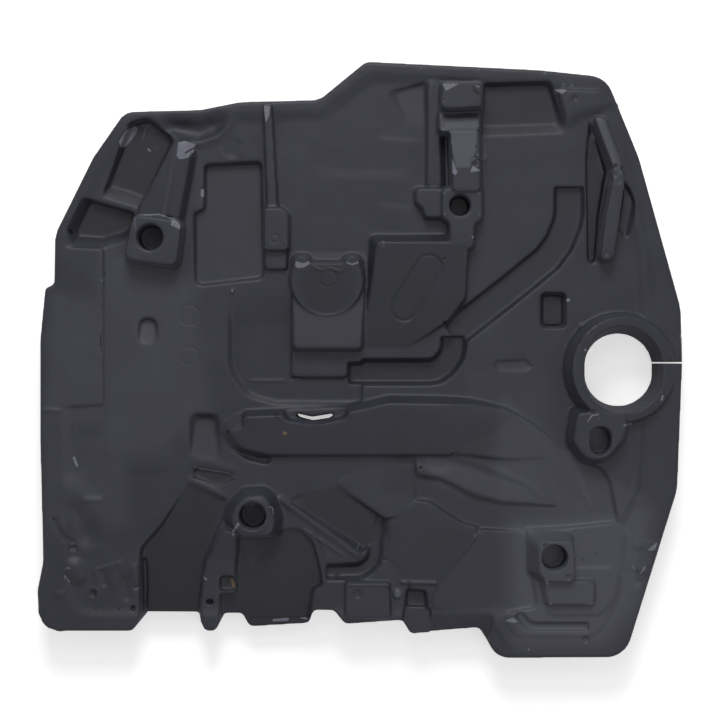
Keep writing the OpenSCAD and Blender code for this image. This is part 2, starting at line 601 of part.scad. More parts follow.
// Boss of the ring socket, its ring and the tongue that runs to the front.
module ring_boss() {
    raised([[-138, -160, 8], [-131, -140, 8], [-117, -127, 8], [-95, -126, 8], [-84, -134, 8],
        [-76, -158, 8], [-80, -177, 6, 0.4], [-126, -179, 6]], level(ring_boss_h), draft = 0.45,
        root = 14);
    translate(concat(at([-107, -155]), floor_h))
        cylinder(h = ring_boss_h + ring_rise - floor_h, d = ring_od, $fn = round_fn);
    raised([[-136, -164, 4], [-121, -172, 3], [-124, -203, 3], [-155, -203, 3]],
        tilt(-165, ring_boss_h - 3, -200, floor_h + 3), draft = 0.2, root = 17);
    raised([[-154, -199, 2], [-125, -199, 2], [-125, -234, 2], [-158, -234, 2]],
        tilt(-199, floor_h + 3, -234, floor_h - 0.5), draft = 0.1, root = 16);
}

// Diagonal rib beside the facet.
module diagonal_rib() {
    swept([[-82, -138, 0], [-1, -197, 0]], 22, floor_h - 10, 4, floor_h + 2);
}

// Blind bore down from a face.
module socket(p, d, face) {
    translate(concat(at(p), face - stud_bore_l))
        cylinder(h = stud_bore_l + 5, d = d, $fn = round_fn * 2);
}

module stud_sockets() {
    socket([-208.5, 122], stud_bore_d, rear_boss_h);
    socket([99.5, 154], tower_bore_d, tower_boss_h);
    socket([193.5, -196.5], stud_bore_d, front_boss_h);
    socket([-107, -155], ring_bore_d, ring_boss_h + ring_rise);
}

// Slotted socket: two bores and the straight between them.
module slotted_socket() {
    shift = (slot_bore_len - slot_bore_d) / 2;
    translate(concat(at([239, -80.5]), slot_boss_h - stud_bore_l)) {
        for (side = [-1, 1])
            translate([0, side * shift, 0])
                cylinder(h = stud_bore_l + 5, d = slot_bore_d, $fn = round_fn * 2);
        translate([-slot_bore_d / 2, -shift, 0])
            cube([slot_bore_d, 2 * shift, stud_bore_l + 5]);
    }
}

// Oil filler opening: two overlapping cones make its oval funnel.
module filler_opening() {
    over = 4;
    rate = (filler_mouth_r - filler_r) / collar_h;
    translate(concat(at([263, -10]), -over))
        for (side = [-1, 1])
            translate([0, side * filler_stretch / 2, 0])
                cylinder(h = collar_h + 2 * over, r1 = filler_r - rate * over,
                    r2 = filler_mouth_r + rate * over, $fn = round_fn * 2);
}

// Square pocket and narrow slot at the front end of the ring boss's tongue.
module tongue_pockets() {
    sunk([[-141, -216, 1], [-125, -216, 1], [-125, -232, 1], [-141, -232, 1]], level(floor_h - 7),
        draft = 0.08, mouth = floor_h + 2);
    sunk([[-155, -240, 1], [-147, -240, 1], [-147, -246, 1], [-155, -246, 1]], level(floor_h - 7),
        draft = 0.08, mouth = rim_h);
}

// Slit that lets the cover open round the filler neck.
module slit() {
    start = at([263 + 20, -2.8]);
    translate([start[0], start[1] - slit_w / 2, -2])
        cube([cover_w / 2, slit_w, collar_h + 4]);
}

// Tear through the rail's rear wall.
module tear() {
    translate([0, 0, -2])
        linear_extrude(height = rail_h)
            polygon([at([-66, -53]), at([-48, -57]), at([-23, -53]), at([-31, -59]), at([-48, -61.5]),
                at([-62, -58])]);
}

// Shelf in the rail's rear wall, round the tear.
module tear_scoop() {
    sunk([[-82, -44, 1], [-8, -44, 1], [-12, -60, 8], [-45, -67, 30], [-76, -62, 8]],
        level(rail_h - shelf_drop), draft = 0.3, mouth = rail_h, over = 8);
}

// Groove in the corner block in front of the step.
module corner_groove() {
    swept([[158, -254, 0], [170, -267, 10], [229, -267, 0]], 5, corner_h - 3.5, 14, corner_h + 3);
}

module recesses() {
    floor_cut();
    rear_left_recesses();
    cable_recess();
    sensor_bay();
    tower_recesses();
    connector_pocket();
    hose_channels();
    scoops();
    runner_chutes();
    front_facets();
    arm_pockets();
}

module raised_forms() {
    left_ledge();
    rear_left_boss();
    clip_strip();
    sensor_block();
    coil_plateau();
    mount_tower();
    rear_right_step();
    pipe_arm();
    filler_collar();
    slotted_boss();
    long_rail();
    leaf_ramp();
    facet_shoulder();
    front_slabs();
    front_right_block();
    front_pad();
    ring_boss();
    diagonal_rib();
}

module cover() color(foam) difference() {
    union() {
        difference() {
            shell();
            recesses();
        }
        raised_forms();
    }
    stud_sockets();
    slotted_socket();
    filler_opening();
    slit();
    tear_scoop();
    tear();
    corner_groove();
    tongue_pockets();
}

cover();
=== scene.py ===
"""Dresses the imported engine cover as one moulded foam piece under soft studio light.

The cover's CAD solid is copied, rounded as a foam moulding is, given its soft waves,
dimples and damage, and shown from straight above with its engine side up. Places in the
plan are layout coordinates in millimetres: u to the right and v towards the front edge,
with (360, 360) over the middle of the cover.
"""

import logging
from dataclasses import dataclass
from enum import Enum
from typing import Sequence

import bmesh
import bpy
import numpy as np
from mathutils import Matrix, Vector


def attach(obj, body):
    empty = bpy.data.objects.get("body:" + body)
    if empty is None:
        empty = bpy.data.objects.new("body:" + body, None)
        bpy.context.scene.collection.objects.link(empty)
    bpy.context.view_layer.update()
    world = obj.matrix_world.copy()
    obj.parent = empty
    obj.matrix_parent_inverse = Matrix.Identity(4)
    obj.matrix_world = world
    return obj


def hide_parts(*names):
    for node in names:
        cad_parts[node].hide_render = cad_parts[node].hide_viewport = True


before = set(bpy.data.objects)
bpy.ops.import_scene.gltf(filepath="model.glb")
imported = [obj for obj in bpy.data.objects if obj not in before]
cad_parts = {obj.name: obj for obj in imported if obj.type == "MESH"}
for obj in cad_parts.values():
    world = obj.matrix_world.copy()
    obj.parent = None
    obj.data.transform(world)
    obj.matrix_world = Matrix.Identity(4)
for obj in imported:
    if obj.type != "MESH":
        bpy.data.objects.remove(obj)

LOG = logging.getLogger("engine_cover")
MM = 0.001
MIDDLE = 360.0
SEED = 7
WALL_LAYER = "wall"
# Places of the Mix node's two inputs and its output, by kind.
MIX_SOCKETS = {"RGBA": (6, 7, 2), "FLOAT": (2, 3, 0)}
# Upward part of a normal below which the skin is a wall.
WALL_NORMAL = 0.1

Point = tuple[float, float]
Place = tuple[float, float, float]
Tree = bpy.types.NodeTree
Socket = bpy.types.NodeSocket


def linear(hex_colour: str) -> tuple[float, float, float, float]:
    """Turns an sRGB colour into linear RGBA.

    Args:
        hex_colour: The colour as six hex digits, with or without a leading #.

    Returns:
        Linear red, green and blue with an alpha of one.
    """
    digits = hex_colour.lstrip("#")
    parts = [int(digits[i : i + 2], 16) / 255 for i in (0, 2, 4)]
    low, high = [c / 12.92 for c in parts], [((c + 0.055) / 1.055) ** 2.4 for c in parts]
    return tuple(lo if c <= 0.04045 else hi for c, lo, hi in zip(parts, low, high)) + (1.0,)


def plan(points: Sequence[Point]) -> np.ndarray:
    """Turns layout coordinates into metres about the cover's middle.

    Args:
        points: Pairs (u, v) in millimetres.

    Returns:
        An array of x and y in metres, one row a point.
    """
    uv = np.asarray(points, float).reshape(-1, 2)
    return np.column_stack([uv[:, 0] - MIDDLE, MIDDLE - uv[:, 1]]) * MM


def arc(u: float, v: float, radius: float, start: float, end: float, steps: int = 10) -> tuple[Point, ...]:
    """Layout points along an arc.

    Args:
        u: Layout place of its centre to the right.
        v: Layout place of its centre towards the front.
        radius: Radius in millimetres.
        start: First angle in degrees, counted from the right towards the rear.
        end: Last angle.
        steps: Number of chords.

    Returns:
        The points.
    """
    angles = np.radians(np.linspace(start, end, steps + 1))
    return tuple((u + radius * float(np.cos(a)), v - radius * float(np.sin(a))) for a in angles)


def capsule(a: Point, b: Point, radius: float) -> tuple[Point, ...]:
    """Layout points of the closed outline at one distance round a straight line."""
    turn = float(np.degrees(np.arctan2(a[1] - b[1], b[0] - a[0])))
    return arc(*b, radius, turn - 90, turn + 90, 6) + arc(*a, radius, turn + 90, turn + 270, 6)


def smooth(x: np.ndarray) -> np.ndarray:
    """Eases values from 0 at 0 to 1 at 1, flat at both ends."""
    t = np.clip(x, 0.0, 1.0)
    return t * t * (3 - 2 * t)


def points_of(mesh: bpy.types.Mesh) -> np.ndarray:
    """Reads a mesh's points in metres, one row a point."""
    co = np.empty(len(mesh.vertices) * 3)
    mesh.vertices.foreach_get("co", co)
    return co.reshape(-1, 3)


def move_points(mesh: bpy.types.Mesh, co: np.ndarray) -> None:
    """Writes a mesh's points back."""
    mesh.vertices.foreach_set("co", co.ravel())
    mesh.update()


def facing_up(mesh: bpy.types.Mesh, span: float) -> np.ndarray:
    """How far the skin faces up at each point.

    Args:
        mesh: The skin.
        span: Rise of the normal's upward part from a wall's to a flat's.

    Returns:
        Values from 0 on walls to 1 on flats.
    """
    normal = np.empty(len(mesh.vertices) * 3)
    mesh.vertices.foreach_get("normal", normal)
    return smooth((normal.reshape(-1, 3)[:, 2] - WALL_NORMAL) / span)


def along(xy: np.ndarray, path: np.ndarray) -> tuple[np.ndarray, np.ndarray, np.ndarray]:
    """Measures points against an open path.

    Args:
        xy: Points in metres.
        path: The path's corners in metres.

    Returns:
        The distance to the path, the side (positive to its left) and the share of its length.
    """
    best = np.full(len(xy), np.inf)
    side = np.zeros(len(xy))
    share = np.zeros(len(xy))
    lengths = np.linalg.norm(np.diff(path, axis=0), axis=1)
    done = 0.0
    for start, end, length in zip(path[:-1], path[1:], lengths):
        step = (end - start) / length
        rel = xy - start
        t = np.clip(rel @ step, 0.0, length)
        off = rel - t[:, None] * step
        dist = np.linalg.norm(off, axis=1)
        near = dist < best
        cross = step[0] * rel[:, 1] - step[1] * rel[:, 0]
        best = np.where(near, dist, best)
        side = np.where(near, np.sign(cross), side)
        share = np.where(near, (done + t) / lengths.sum(), share)
        done += length
    return best, side, share


def inside_distance(xy: np.ndarray, ring: np.ndarray) -> np.ndarray:
    """Signed distance to a closed outline, positive inside it.

    Args:
        xy: Points in metres.
        ring: The outline's corners in metres.

    Returns:
        One distance a point, in metres.
    """
    closed = np.vstack([ring, ring[:1]])
    dist = along(xy, closed)[0]
    hit = np.zeros(len(xy), bool)
    for a, b in zip(closed[:-1], closed[1:]):
        if a[1] == b[1]:
            continue
        crosses = (a[1] > xy[:, 1]) != (b[1] > xy[:, 1])
        x_at = a[0] + (xy[:, 1] - a[1]) * (b[0] - a[0]) / (b[1] - a[1])
        hit ^= crosses & (xy[:, 0] < x_at)
    return np.where(hit, dist, -dist)


class Wear(Enum):
    """What a mark shows, and the mesh attribute that holds it."""

    TORN = "torn"
    RUBBED = "rubbed"
    # Grime specks, with painted shade in pits, notches, grooves and gaps.
    DIRT_AND_SHADE = "dirt_and_shade"
    RUST = "rust"
    # Painted shade in broad patches.
    PAINTED_SHADE = "painted_shade"
    # Painted light in broad patches.
    PAINTED_LIGHT = "painted_light"


@dataclass(frozen=True)
class Ridge:
    """A rounded ridge or groove along a path.

    Args:
        path: Layout points.
        width: Full width at half height, in millimetres.
        height: Height in millimetres, below zero for a groove.
        taper: Share of the length over which each end fades out.
    """

    path: tuple[Point, ...]
    width: float
    height: float
    taper: float = 0.15

    def reach(self) -> float:
        """How far from its points the form is felt, in metres."""
        return self.width * 2.2 * MM

    def lift(self, xy: np.ndarray) -> np.ndarray:
        """Height it adds at each point, in metres."""
        dist, _, share = along(xy, plan(self.path))
        fade = 1.0
        if self.taper > 0:
            fade = smooth(share / self.taper) * smooth((1 - share) / self.taper)
        return self.height * MM * np.exp(-((dist / (self.width * 0.6 * MM)) ** 2)) * fade


@dataclass(frozen=True)
class Step:
    """A soft step along a path that dies away on its high side.

    Args:
        path: Layout points; the ground to the left of the path is lifted.
        width: Width of the slope across the path, in millimetres.
        height: Height of the step in millimetres.
        fade: Distance over which the lifted ground falls back, in millimetres.
        taper: Share of the length over which each end fades out.
    """

    path: tuple[Point, ...]
    width: float
    height: float
    fade: float
    taper: float = 0.2

    def reach(self) -> float:
        """How far from its points the form is felt, in metres."""
        return (self.fade + self.width) * MM

    def lift(self, xy: np.ndarray) -> np.ndarray:
        """Height it adds at each point, in metres."""
        dist, side, share = along(xy, plan(self.path))
        across = dist * side / MM
        rise = smooth(0.5 + across / self.width)
        fall = smooth(1 - across / self.fade)
        ends = smooth(share / self.taper) * smooth((1 - share) / self.taper)
        return self.height * MM * rise * fall * ends


@dataclass(frozen=True)
class Area:
    """A lifted or sunk area with a soft edge and, if wanted, a tilted top.

    Args:
        outline: Layout points of the closed outline.
        height: Height in millimetres, below zero for a hollow.
        edge: Width of the soft edge inside the outline, in millimetres.
        low_v: Layout v at which a tilted area has faded to nothing, if it is tilted.
        high_v: Layout v at which a tilted area has its full height.
        below: Height in millimetres up to which it lifts at most.
    """

    outline: tuple[Point, ...]
    height: float
    edge: float
    low_v: float | None = None
    high_v: float | None = None
    below: float = 99.0

    @property
    def path(self) -> tuple[Point, ...]:
        """The points that bound it."""
        return self.outline

    def reach(self) -> float:
        """How far from its points the form is felt, in metres."""
        return MM

    def lift(self, xy: np.ndarray) -> np.ndarray:
        """Height it adds at each point, in metres."""
        rise = smooth(inside_distance(xy, plan(self.outline)) / (self.edge * MM))
        if self.low_v is not None and self.high_v is not None:
            v = MIDDLE - xy[:, 1] / MM
            rise = rise * np.clip((v - self.low_v) / (self.high_v - self.low_v), 0, 1)
        return self.height * MM * rise


@dataclass(frozen=True)
class Dimple:
    """A small round dimple, pip or ring.

    Args:
        u: Layout place to the right.
        v: Layout place towards the front.
        radius: Radius in millimetres.
        depth: Depth in millimetres; below zero for a pip.
        ring: Whether the mark is only the ring at that radius.
    """

    u: float
    v: float
    radius: float
    depth: float
    ring: bool = False

    @property
    def path(self) -> tuple[Point, ...]:
        """The point it stands on."""
        return ((self.u, self.v),)

    def reach(self) -> float:
        """How far from its middle the form is felt, in metres."""
        return (self.radius * 1.6 + 1.5) * MM

    def lift(self, xy: np.ndarray) -> np.ndarray:
        """Height it adds at each point, in metres."""
        dist = np.linalg.norm(xy - plan(self.path)[0], axis=1) / MM
        if self.ring:
            return -self.depth * MM * np.exp(-(((dist - self.radius) / 0.9) ** 2))
        return -self.depth * MM * smooth((self.radius * 1.15 - dist) / (self.radius * 0.55))


Form = Ridge | Step | Area | Dimple


@dataclass(frozen=True)
class Mark:
    """A mark on the skin: a chip, a rub, a speck of grime, painted shade in a pit or gap, a rust spot, or a
    broad patch of painted shade or of painted light.

    Args:
        outline: Layout points: one for a round mark, two for a line, more for an area.
        size: Radius or half width in millimetres, and the growth of an area.
        wear: What it shows.
        strength: How strongly, from 0 to 1.
        soft: Width of its edge in millimetres.
        above: Height in millimetres below which it isn't seen.
        steep: Whether it also runs down steep walls.
    """

    outline: tuple[Point, ...]
    size: float
    wear: Wear
    strength: float = 1.0
    soft: float = 0.9
    above: float = 22.0
    steep: bool = False

    @property
    def path(self) -> tuple[Point, ...]:
        """The points it lies on."""
        return self.outline

    def reach(self) -> float:
        """How far from its points the mark is seen, in metres."""
        return (self.size + self.soft * 2) * MM

    def cover(self, xy: np.ndarray) -> np.ndarray:
        """How much of it lies at each point, from 0 to its strength."""
        points = plan(self.outline)
        if len(points) == 1:
            dist = np.linalg.norm(xy - points[0], axis=1)
        elif len(points) == 2:
            dist = along(xy, points)[0]
        else:
            dist = np.maximum(-inside_distance(xy, points), 0)
        return self.strength * smooth(0.5 + (self.size * MM - dist) / (2 * self.soft * MM))


def touched(xy: np.ndarray, item: "Form | Mark") -> np.ndarray:
    """Indices of the points that a form or mark reaches.

    Args:
        xy: Points in metres.
        item: The form or mark.

    Returns:
        The indices.
    """
    pick = near(xy, item.path, item.reach())
    points = plan(item.path)
    if len(points) == 1:
        dist = np.linalg.norm(xy[pick] - points[0], axis=1)
    else:
        dist = along(xy[pick], points)[0]
        if isinstance(item, (Area, Mark)) and len(points) > 2:
            dist = -inside_distance(xy[pick], points)
    return pick[dist < item.reach()]


def near(xy: np.ndarray, points: Sequence[Point], reach: float) -> np.ndarray:
    """Indices of the points inside a form's box.

    Args:
        xy: Points in metres.
        points: Layout points of the form.
        reach: Room round them, in metres.

    Returns:
        The indices.
    """
    box = plan(points)
    low, high = box.min(0) - reach, box.max(0) + reach
    return np.nonzero(((xy >= low) & (xy <= high)).all(axis=1))[0]


@dataclass(frozen=True)
class RimCorner:
    """A corner of the outline that the solid rounds with a few flats.

    Args:
        before: Layout point before the corner.
        corner: The corner itself.
        after: Layout point after it.
        radius: Radius in millimetres.
        flats: Number of flats in the solid.
    """

    before: Point
    corner: Point
    after: Point
    radius: float
    flats: int

    def rounded(self, xy: np.ndarray) -> np.ndarray:
        """Moves points near the flats out to the true arc.

        Args:
            xy: Points in metres.

        Returns:
            The moved points.
        """
        before, corner, after = plan((self.before, self.corner, self.after))
        u, v = before - corner, after - corner
        u, v = u / np.linalg.norm(u), v / np.linalg.norm(v)
        half = np.arccos(u @ v) / 2
        radius = self.radius * MM
        centre = corner + (u + v) / np.linalg.norm(u + v) * radius / np.sin(half)
        first = corner + u * radius / np.tan(half) - centre
        rel = xy - centre
        dist = np.linalg.norm(rel, axis=1)
        turn = first[0] * rel[:, 1] - first[1] * rel[:, 0]
        angle = np.arctan2(turn, rel @ first)
        sweep = np.pi - 2 * half
        if (first[0] * (corner - centre)[1] - first[1] * (corner - centre)[0]) < 0:
            angle = -angle
        share = angle / sweep * self.flats
        inside = (share > 0) & (share < self.flats) & (dist < radius * 1.2)
        flat = sweep / self.flats
        push = np.cos((share - np.floor(share) - 0.5) * flat) / np.cos(flat / 2)
        weight = smooth((dist / radius - 0.3) / 0.6) * inside
        return xy + rel * ((push - 1) * weight)[:, None]


@dataclass(frozen=True)
class MouldedRelief:
    """The soft forms and fine details that the plain solid leaves out."""

    def rim_corners(self) -> list[RimCorner]:
        """The round corners of the outline."""
        return [
            RimCorner((36, 592), (39, 632), (132, 632), 27, 3),
            RimCorner((480, 629.5), (498, 659), (626, 658.5), 20, 2),
            RimCorner((498, 659), (626, 658.5), (678.5, 490), 26, 2),
            RimCorner((640, 157), (607, 76), (540, 69), 26, 2),
            RimCorner((366, 60.5), (319, 99), (240, 101), 14, 2),
            RimCorner((540, 69), (366, 60.5), (319, 99), 14, 2),
            RimCorner((200, 109), (124, 111), (92, 157), 18, 2),
        ]

    def fills(self) -> list[Form]:
        """Floors of the pockets and the tower gap, raised to where the photograph shows them."""
        return [
            Area(((584, 110), (600, 110), (610, 152), (606, 268), (584, 268)), 20, 0.4, below=33),
            Area(((612, 176), (640, 176), (640, 246), (612, 246)), 20, 0.4, below=37),
            Area(((538, 289), (576, 289), (576, 331), (538, 331)), 20, 0.4, below=30),
            Area(((438, 126), (454, 126), (454, 192), (438, 192)), 20, 0.4, below=36),
        ]

    def soft_forms(self) -> list[Form]:
        """Waves, bulges and facets of several millimetres."""
        return [
            # Scoop in the rear left edge.
            Ridge(((156, 120), (180, 127), (199, 130), (214, 124), (226, 110)), 14, -5.0, 0.25),
            Ridge(((161, 130), (178, 139), (198, 143), (216, 137), (228, 126), (236, 112)), 7, 2.8, 0.2),
            Ridge(((238, 136), (229, 160)), 10, -1.2, 0.3),
            # Soft steps across the rear of the panel.
            Step(((427, 173), (360, 174), (300, 171)), 14, 1.0, 50, 0.3),
            Step(((425, 140), (373, 137)), 6, 0.8, 26, 0.3),
            Step(((420, 208), (396, 206), (372, 202)), 9, 0.8, 30, 0.3),
            # Bridge behind the front left chute, and the scoop in it.
            Ridge(((183, 478), (205, 487), (229, 500)), 6, 1.3),
            Ridge(((193, 461), (216, 465), (242, 472)), 7, 0.9, 0.2),
            Area(((193, 467), (230, 473), (236, 479), (218, 487), (192, 478)), 4.6, 1.5, 487, 465),
            # Hollow and bulges of the front left corner.
            Area(capsule((77, 512), (87, 535), 19), -4.6, 19),
            Ridge(((60, 474), (74, 494), (96, 524)), 20, 3.2, 0.3),
            Ridge(((80, 501), (104, 500)), 5, 1.3),
            Ridge(((52, 516), (57, 530), (64, 539), (76, 545)), 5.5, -2.2),
            Area(((66, 545), (77, 546), (68, 555)), -2.0, 3),
            Area(capsule((74, 568), (78, 576), 13), 4.6, 11),
            Area(((52, 589), (67, 589), (67, 600), (52, 600)), 1.3, 4),
            # Steps and flutes between that corner and the chute.
            Step(((124, 559), (106, 566), (88, 571)), 4, 1.6, 16),
            Ridge(((101, 568), (105, 589)), 7, -2.0, 0.2),
            Ridge(((111, 570), (117, 592)), 9, 1.4, 0.3),
            Ridge(((121, 575), (128, 604)), 8, -2.3, 0.2),
            Ridge(((131, 562), (138, 589)), 9, 2.0, 0.25),
            Ridge(((143, 560), (144, 590), (142, 614)), 3.5, -1.7, 0.1),
            # Soft waves round the two chutes.
            Step(((120, 476), (160, 470), (182, 463)), 9, 1.2, 40, 0.3),
            Area(((236, 532), (292, 533), (288, 560), (250, 574)), -2.4, 16),
            # Leaf-shaped ridge and the facet beside it.
            Ridge(((447, 454), (476, 463), (524, 482), (556, 504)), 6, 1.7, 0.12),
            Area(((530, 425), (566, 446), (600, 500), (596, 520), (560, 488), (528, 452)), 1.2, 14),
            # Small dark pocket left of the filler collar.
            Area(((497, 359), (527, 358), (536, 366), (528, 374), (499, 373), (492, 365)), -2.6, 4,
                 375, 360),
            # Rim along the right edge and its dents.
            Ridge(((612, 98), (632, 155), (648, 225), (657, 280), (655, 330)), 11, -1.2, 0.2),
            Ridge(((645, 420), (645, 487), (622, 530)), 5, 0.8, 0.3),
            Ridge(((493, 617), (507, 640), (517, 651)), 7, 1.7, 0.3),
            Ridge(((655, 540), (640, 575)), 16, 2.0),
            Ridge(((640, 545), (632, 572), (641, 588)), 9, -2.3),
            # Creases of the left panel.
            Ridge(((38, 410), (62, 411)), 4, 1.2),
            Ridge(((233, 300), (232, 370), (240, 390)), 7, -0.8, 0.3),
        ]

    def dimples(self) -> list[Form]:
        """Dimples, pips and rings: place, radius, and depth, which is below zero for a pip."""
        solid = (
            (267, 246, 1.3, 1.0), (284, 247, 1.3, 1.0), (232, 291, 2.7, -1.3), (567, 576, 3.4, 1.4),
            (357.5, 594, 4.6, 1.5), (586, 640, 3.6, 1.6), (575, 98, 3.2, 1.2), (74, 549, 3.2, 1.6),
            (143, 561, 1.8, 1.6), (92, 594, 3.6, 2.0), (132, 609, 2.8, 2.4), (397.5, 595, 5.4, -2.0),
            (614, 167, 1.8, 1.2), (543, 543, 2.2, 1.4), (617, 448, 2.4, 1.4), (445, 323, 1.8, 1.6),
            (444, 259, 1.4, 1.4), (421, 468, 1.6, 1.6), (227, 432, 1.8, 1.6),
        )
        rings = (
            (327.7, 278.6, 8.6, 0.8), (275, 239, 4, 0.7), (189, 315, 10, 0.45), (189, 356, 9, 0.45),
            (474, 163, 4, 0.8), (606, 258, 4, 1.0), (383, 243, 2.8, 0.9), (92, 594, 5.6, -0.8),
            (135, 587, 3.2, 1.0),
        )
        return [Dimple(*place) for place in solid] + [Dimple(*place, ring=True) for place in rings]

    def fine_forms(self) -> list[Form]:
        """Narrow grooves and beads, with the dimples, rings and pips."""
        stadium = capsule((429, 268), (404, 308), 12.5)
        return [
            # Pressed long ring on the plateau.
            Ridge(stadium + stadium[:1], 2.6, -1.4, 0.0),
            Area(stadium, -0.6, 4),
            # Lip of the disc and the bead between its ears.
            Ridge(arc(327, 279.5, 36, 172, 368, 14), 1.8, 0.8, 0.05),
            Ridge(((311, 267), (322, 271), (330, 269), (340, 272), (347, 267)), 2.4, 1.0),
            # Creases and beads of the front facets.
            Ridge(((398, 583), (437, 584), (478, 534)), 3.2, 2.2, 0.05),
            Ridge(((388, 463), (420, 462), (450, 470)), 7, -0.9),
            # Beads and cuts in the middle and on the left panel.
            Ridge(((246, 381), (287, 381)), 2.6, 0.9),
            Ridge(((289, 379), (301, 378)), 2.0, -1.4),
            Ridge(((100, 343), (101, 355)), 1.6, -1.2),
            # Edges inside the right chute.
            Ridge(((314, 533), (321, 552), (326, 572), (326, 581)), 3.0, -1.4),
            Ridge(((300, 528), (322, 542), (347, 559)), 2.6, 1.4),
            # Front pad and its notches.
            Ridge(((349, 585), (389, 585), (389, 592)), 2.2, 0.9, 0.05),
            Ridge(((383, 560), (386, 560)), 2.0, -1.6, 0.0),
            Ridge(((409, 583), (409, 590)), 2.0, -1.6, 0.0),
            Ridge(((336, 575), (339, 581)), 2.0, -1.4),
            # Lip of the filler collar.
            Ridge(((582, 320), (581, 345), (590, 362)), 3.4, 1.3),
            # Tab on the rail and folds of the pipe arm.
            Area(((475, 156), (488, 156), (488, 162), (475, 162)), 1.4, 1.6),
            Ridge(((608, 172), (614, 176), (620, 185)), 3, -0.8),
            Ridge(((611, 183), (616, 179), (622, 172)), 2.4, 0.7),
        ] + self.dimples()

    def tones(self) -> list[Mark]:
        """Broad soft patches of painted shade and painted light."""
        painted_shade, painted_light = Wear.PAINTED_SHADE, Wear.PAINTED_LIGHT
        return [
            # Painted shade on the floors of the chutes, the plateau, the disc and the long plateau.
            Mark(((190, 485), (222, 500), (213, 520), (199, 560), (196, 610), (142, 610), (141, 560),
                  (160, 525)), 0.0, painted_shade, 0.8, 7),
            Mark(((240, 538), (300, 530), (318, 550), (322, 590), (310, 618), (238, 618)), 0.0, painted_shade, 0.6,
                 7),
            Mark(((372, 238), (464, 240), (464, 300), (430, 342), (370, 342)), 0.0, painted_shade, 0.85, 6),
            Mark(((328, 285),), 28.0, painted_shade, 0.45, 5),
            Mark(((232, 415), (372, 412), (520, 424), (470, 452), (240, 452)), 0.0, painted_shade, 0.3, 6),
            # Painted shade on the floors of the rear pockets, with faint painted light in one pocket.
            Mark(((122, 146), (144, 128), (168, 142), (148, 198), (106, 188)), 0.0, painted_shade, 0.75, 6),
            Mark(((92, 206), (134, 214), (128, 234), (76, 238)), 0.0, painted_shade, 0.4, 5),
            Mark(((198, 165), (262, 165), (262, 276), (196, 282)), 0.0, painted_light, 0.15, 5),
            Mark(((478, 86), (560, 86), (548, 132), (478, 132)), 0.0, painted_shade, 0.35, 5),
            # Painted shade on facets at the front and the middle, with one streak of painted light.
            Mark(((430, 530), (478, 533), (441, 582), (400, 583), (392, 565)), 0.0, painted_shade, 0.4, 5),
            Mark(((385, 452), (412, 455), (415, 494), (385, 490)), 0.0, painted_shade, 0.4, 5),
            Mark(((300, 505), (340, 488), (385, 520), (365, 552)), 0.0, painted_shade, 0.5, 7),
            Mark(((236, 290), (290, 290), (290, 396), (245, 385)), 0.0, painted_shade, 0.15, 7),
            Mark(((292, 312), (362, 312), (362, 347), (292, 347)), 0.0, painted_shade, 0.2, 4),
            Mark(((193, 467), (230, 473), (234, 479), (218, 485), (192, 478)), 0.0, painted_shade, 1.0, 3),
            Mark(((546, 455), (575, 470), (588, 503), (562, 482)), 0.0, painted_shade, 0.35, 4),
            Mark(((440, 472), (476, 478), (520, 492), (552, 505), (510, 504), (470, 499)), 0.0, painted_shade, 0.4, 4),
            Mark(((578, 474), (592, 505)), 4.0, painted_light, 0.4, 4),
            # Painted light on the top of the pipe arm, and painted shade in the pockets near it.
            Mark(((591, 118), (604, 116), (620, 168), (620, 186), (607, 186), (604, 170)), 0.0, painted_light, 0.5, 2),
            Mark(((586, 124), (592, 124), (606, 184), (598, 256), (586, 256)), 0.0, painted_shade, 0.5, 2),
            Mark(((553, 293), (567, 293), (567, 326), (553, 326)), 0.0, painted_shade, 0.1, 3),
            # Painted light on the panel and the front right corner.
            Mark(((110, 250), (185, 290), (200, 400), (160, 440), (110, 450)), 0.0, painted_light, 0.35, 24),
            Mark(((520, 530), (640, 515), (630, 600), (600, 635), (525, 635)), 0.0, painted_light, 0.9, 30),
            Mark(((505, 400), (580, 470), (640, 500), (600, 520), (500, 500)), 0.0, painted_light, 0.5, 16),
            Mark(((428, 462), (470, 470), (540, 500), (500, 505), (440, 485)), 0.0, painted_light, 0.35, 7),
            Mark(((470, 375), (545, 375), (545, 410), (470, 410)), 0.0, painted_light, 0.15, 14),
            Mark(((55, 300), (100, 300), (100, 420), (50, 420)), 0.0, painted_light, 0.35, 14),
            Mark(((50, 440), (120, 440), (120, 520), (50, 520)), 0.0, painted_light, 0.25, 16),
            # Painted light on the floors of the two right-hand sockets.
            Mark(((553.5, 556.5),), 13.0, painted_light, 1.0, 1.5, 5),
            Mark(((599, 440.5),), 13.0, painted_light, 1.0, 1.5, 5),
        ]

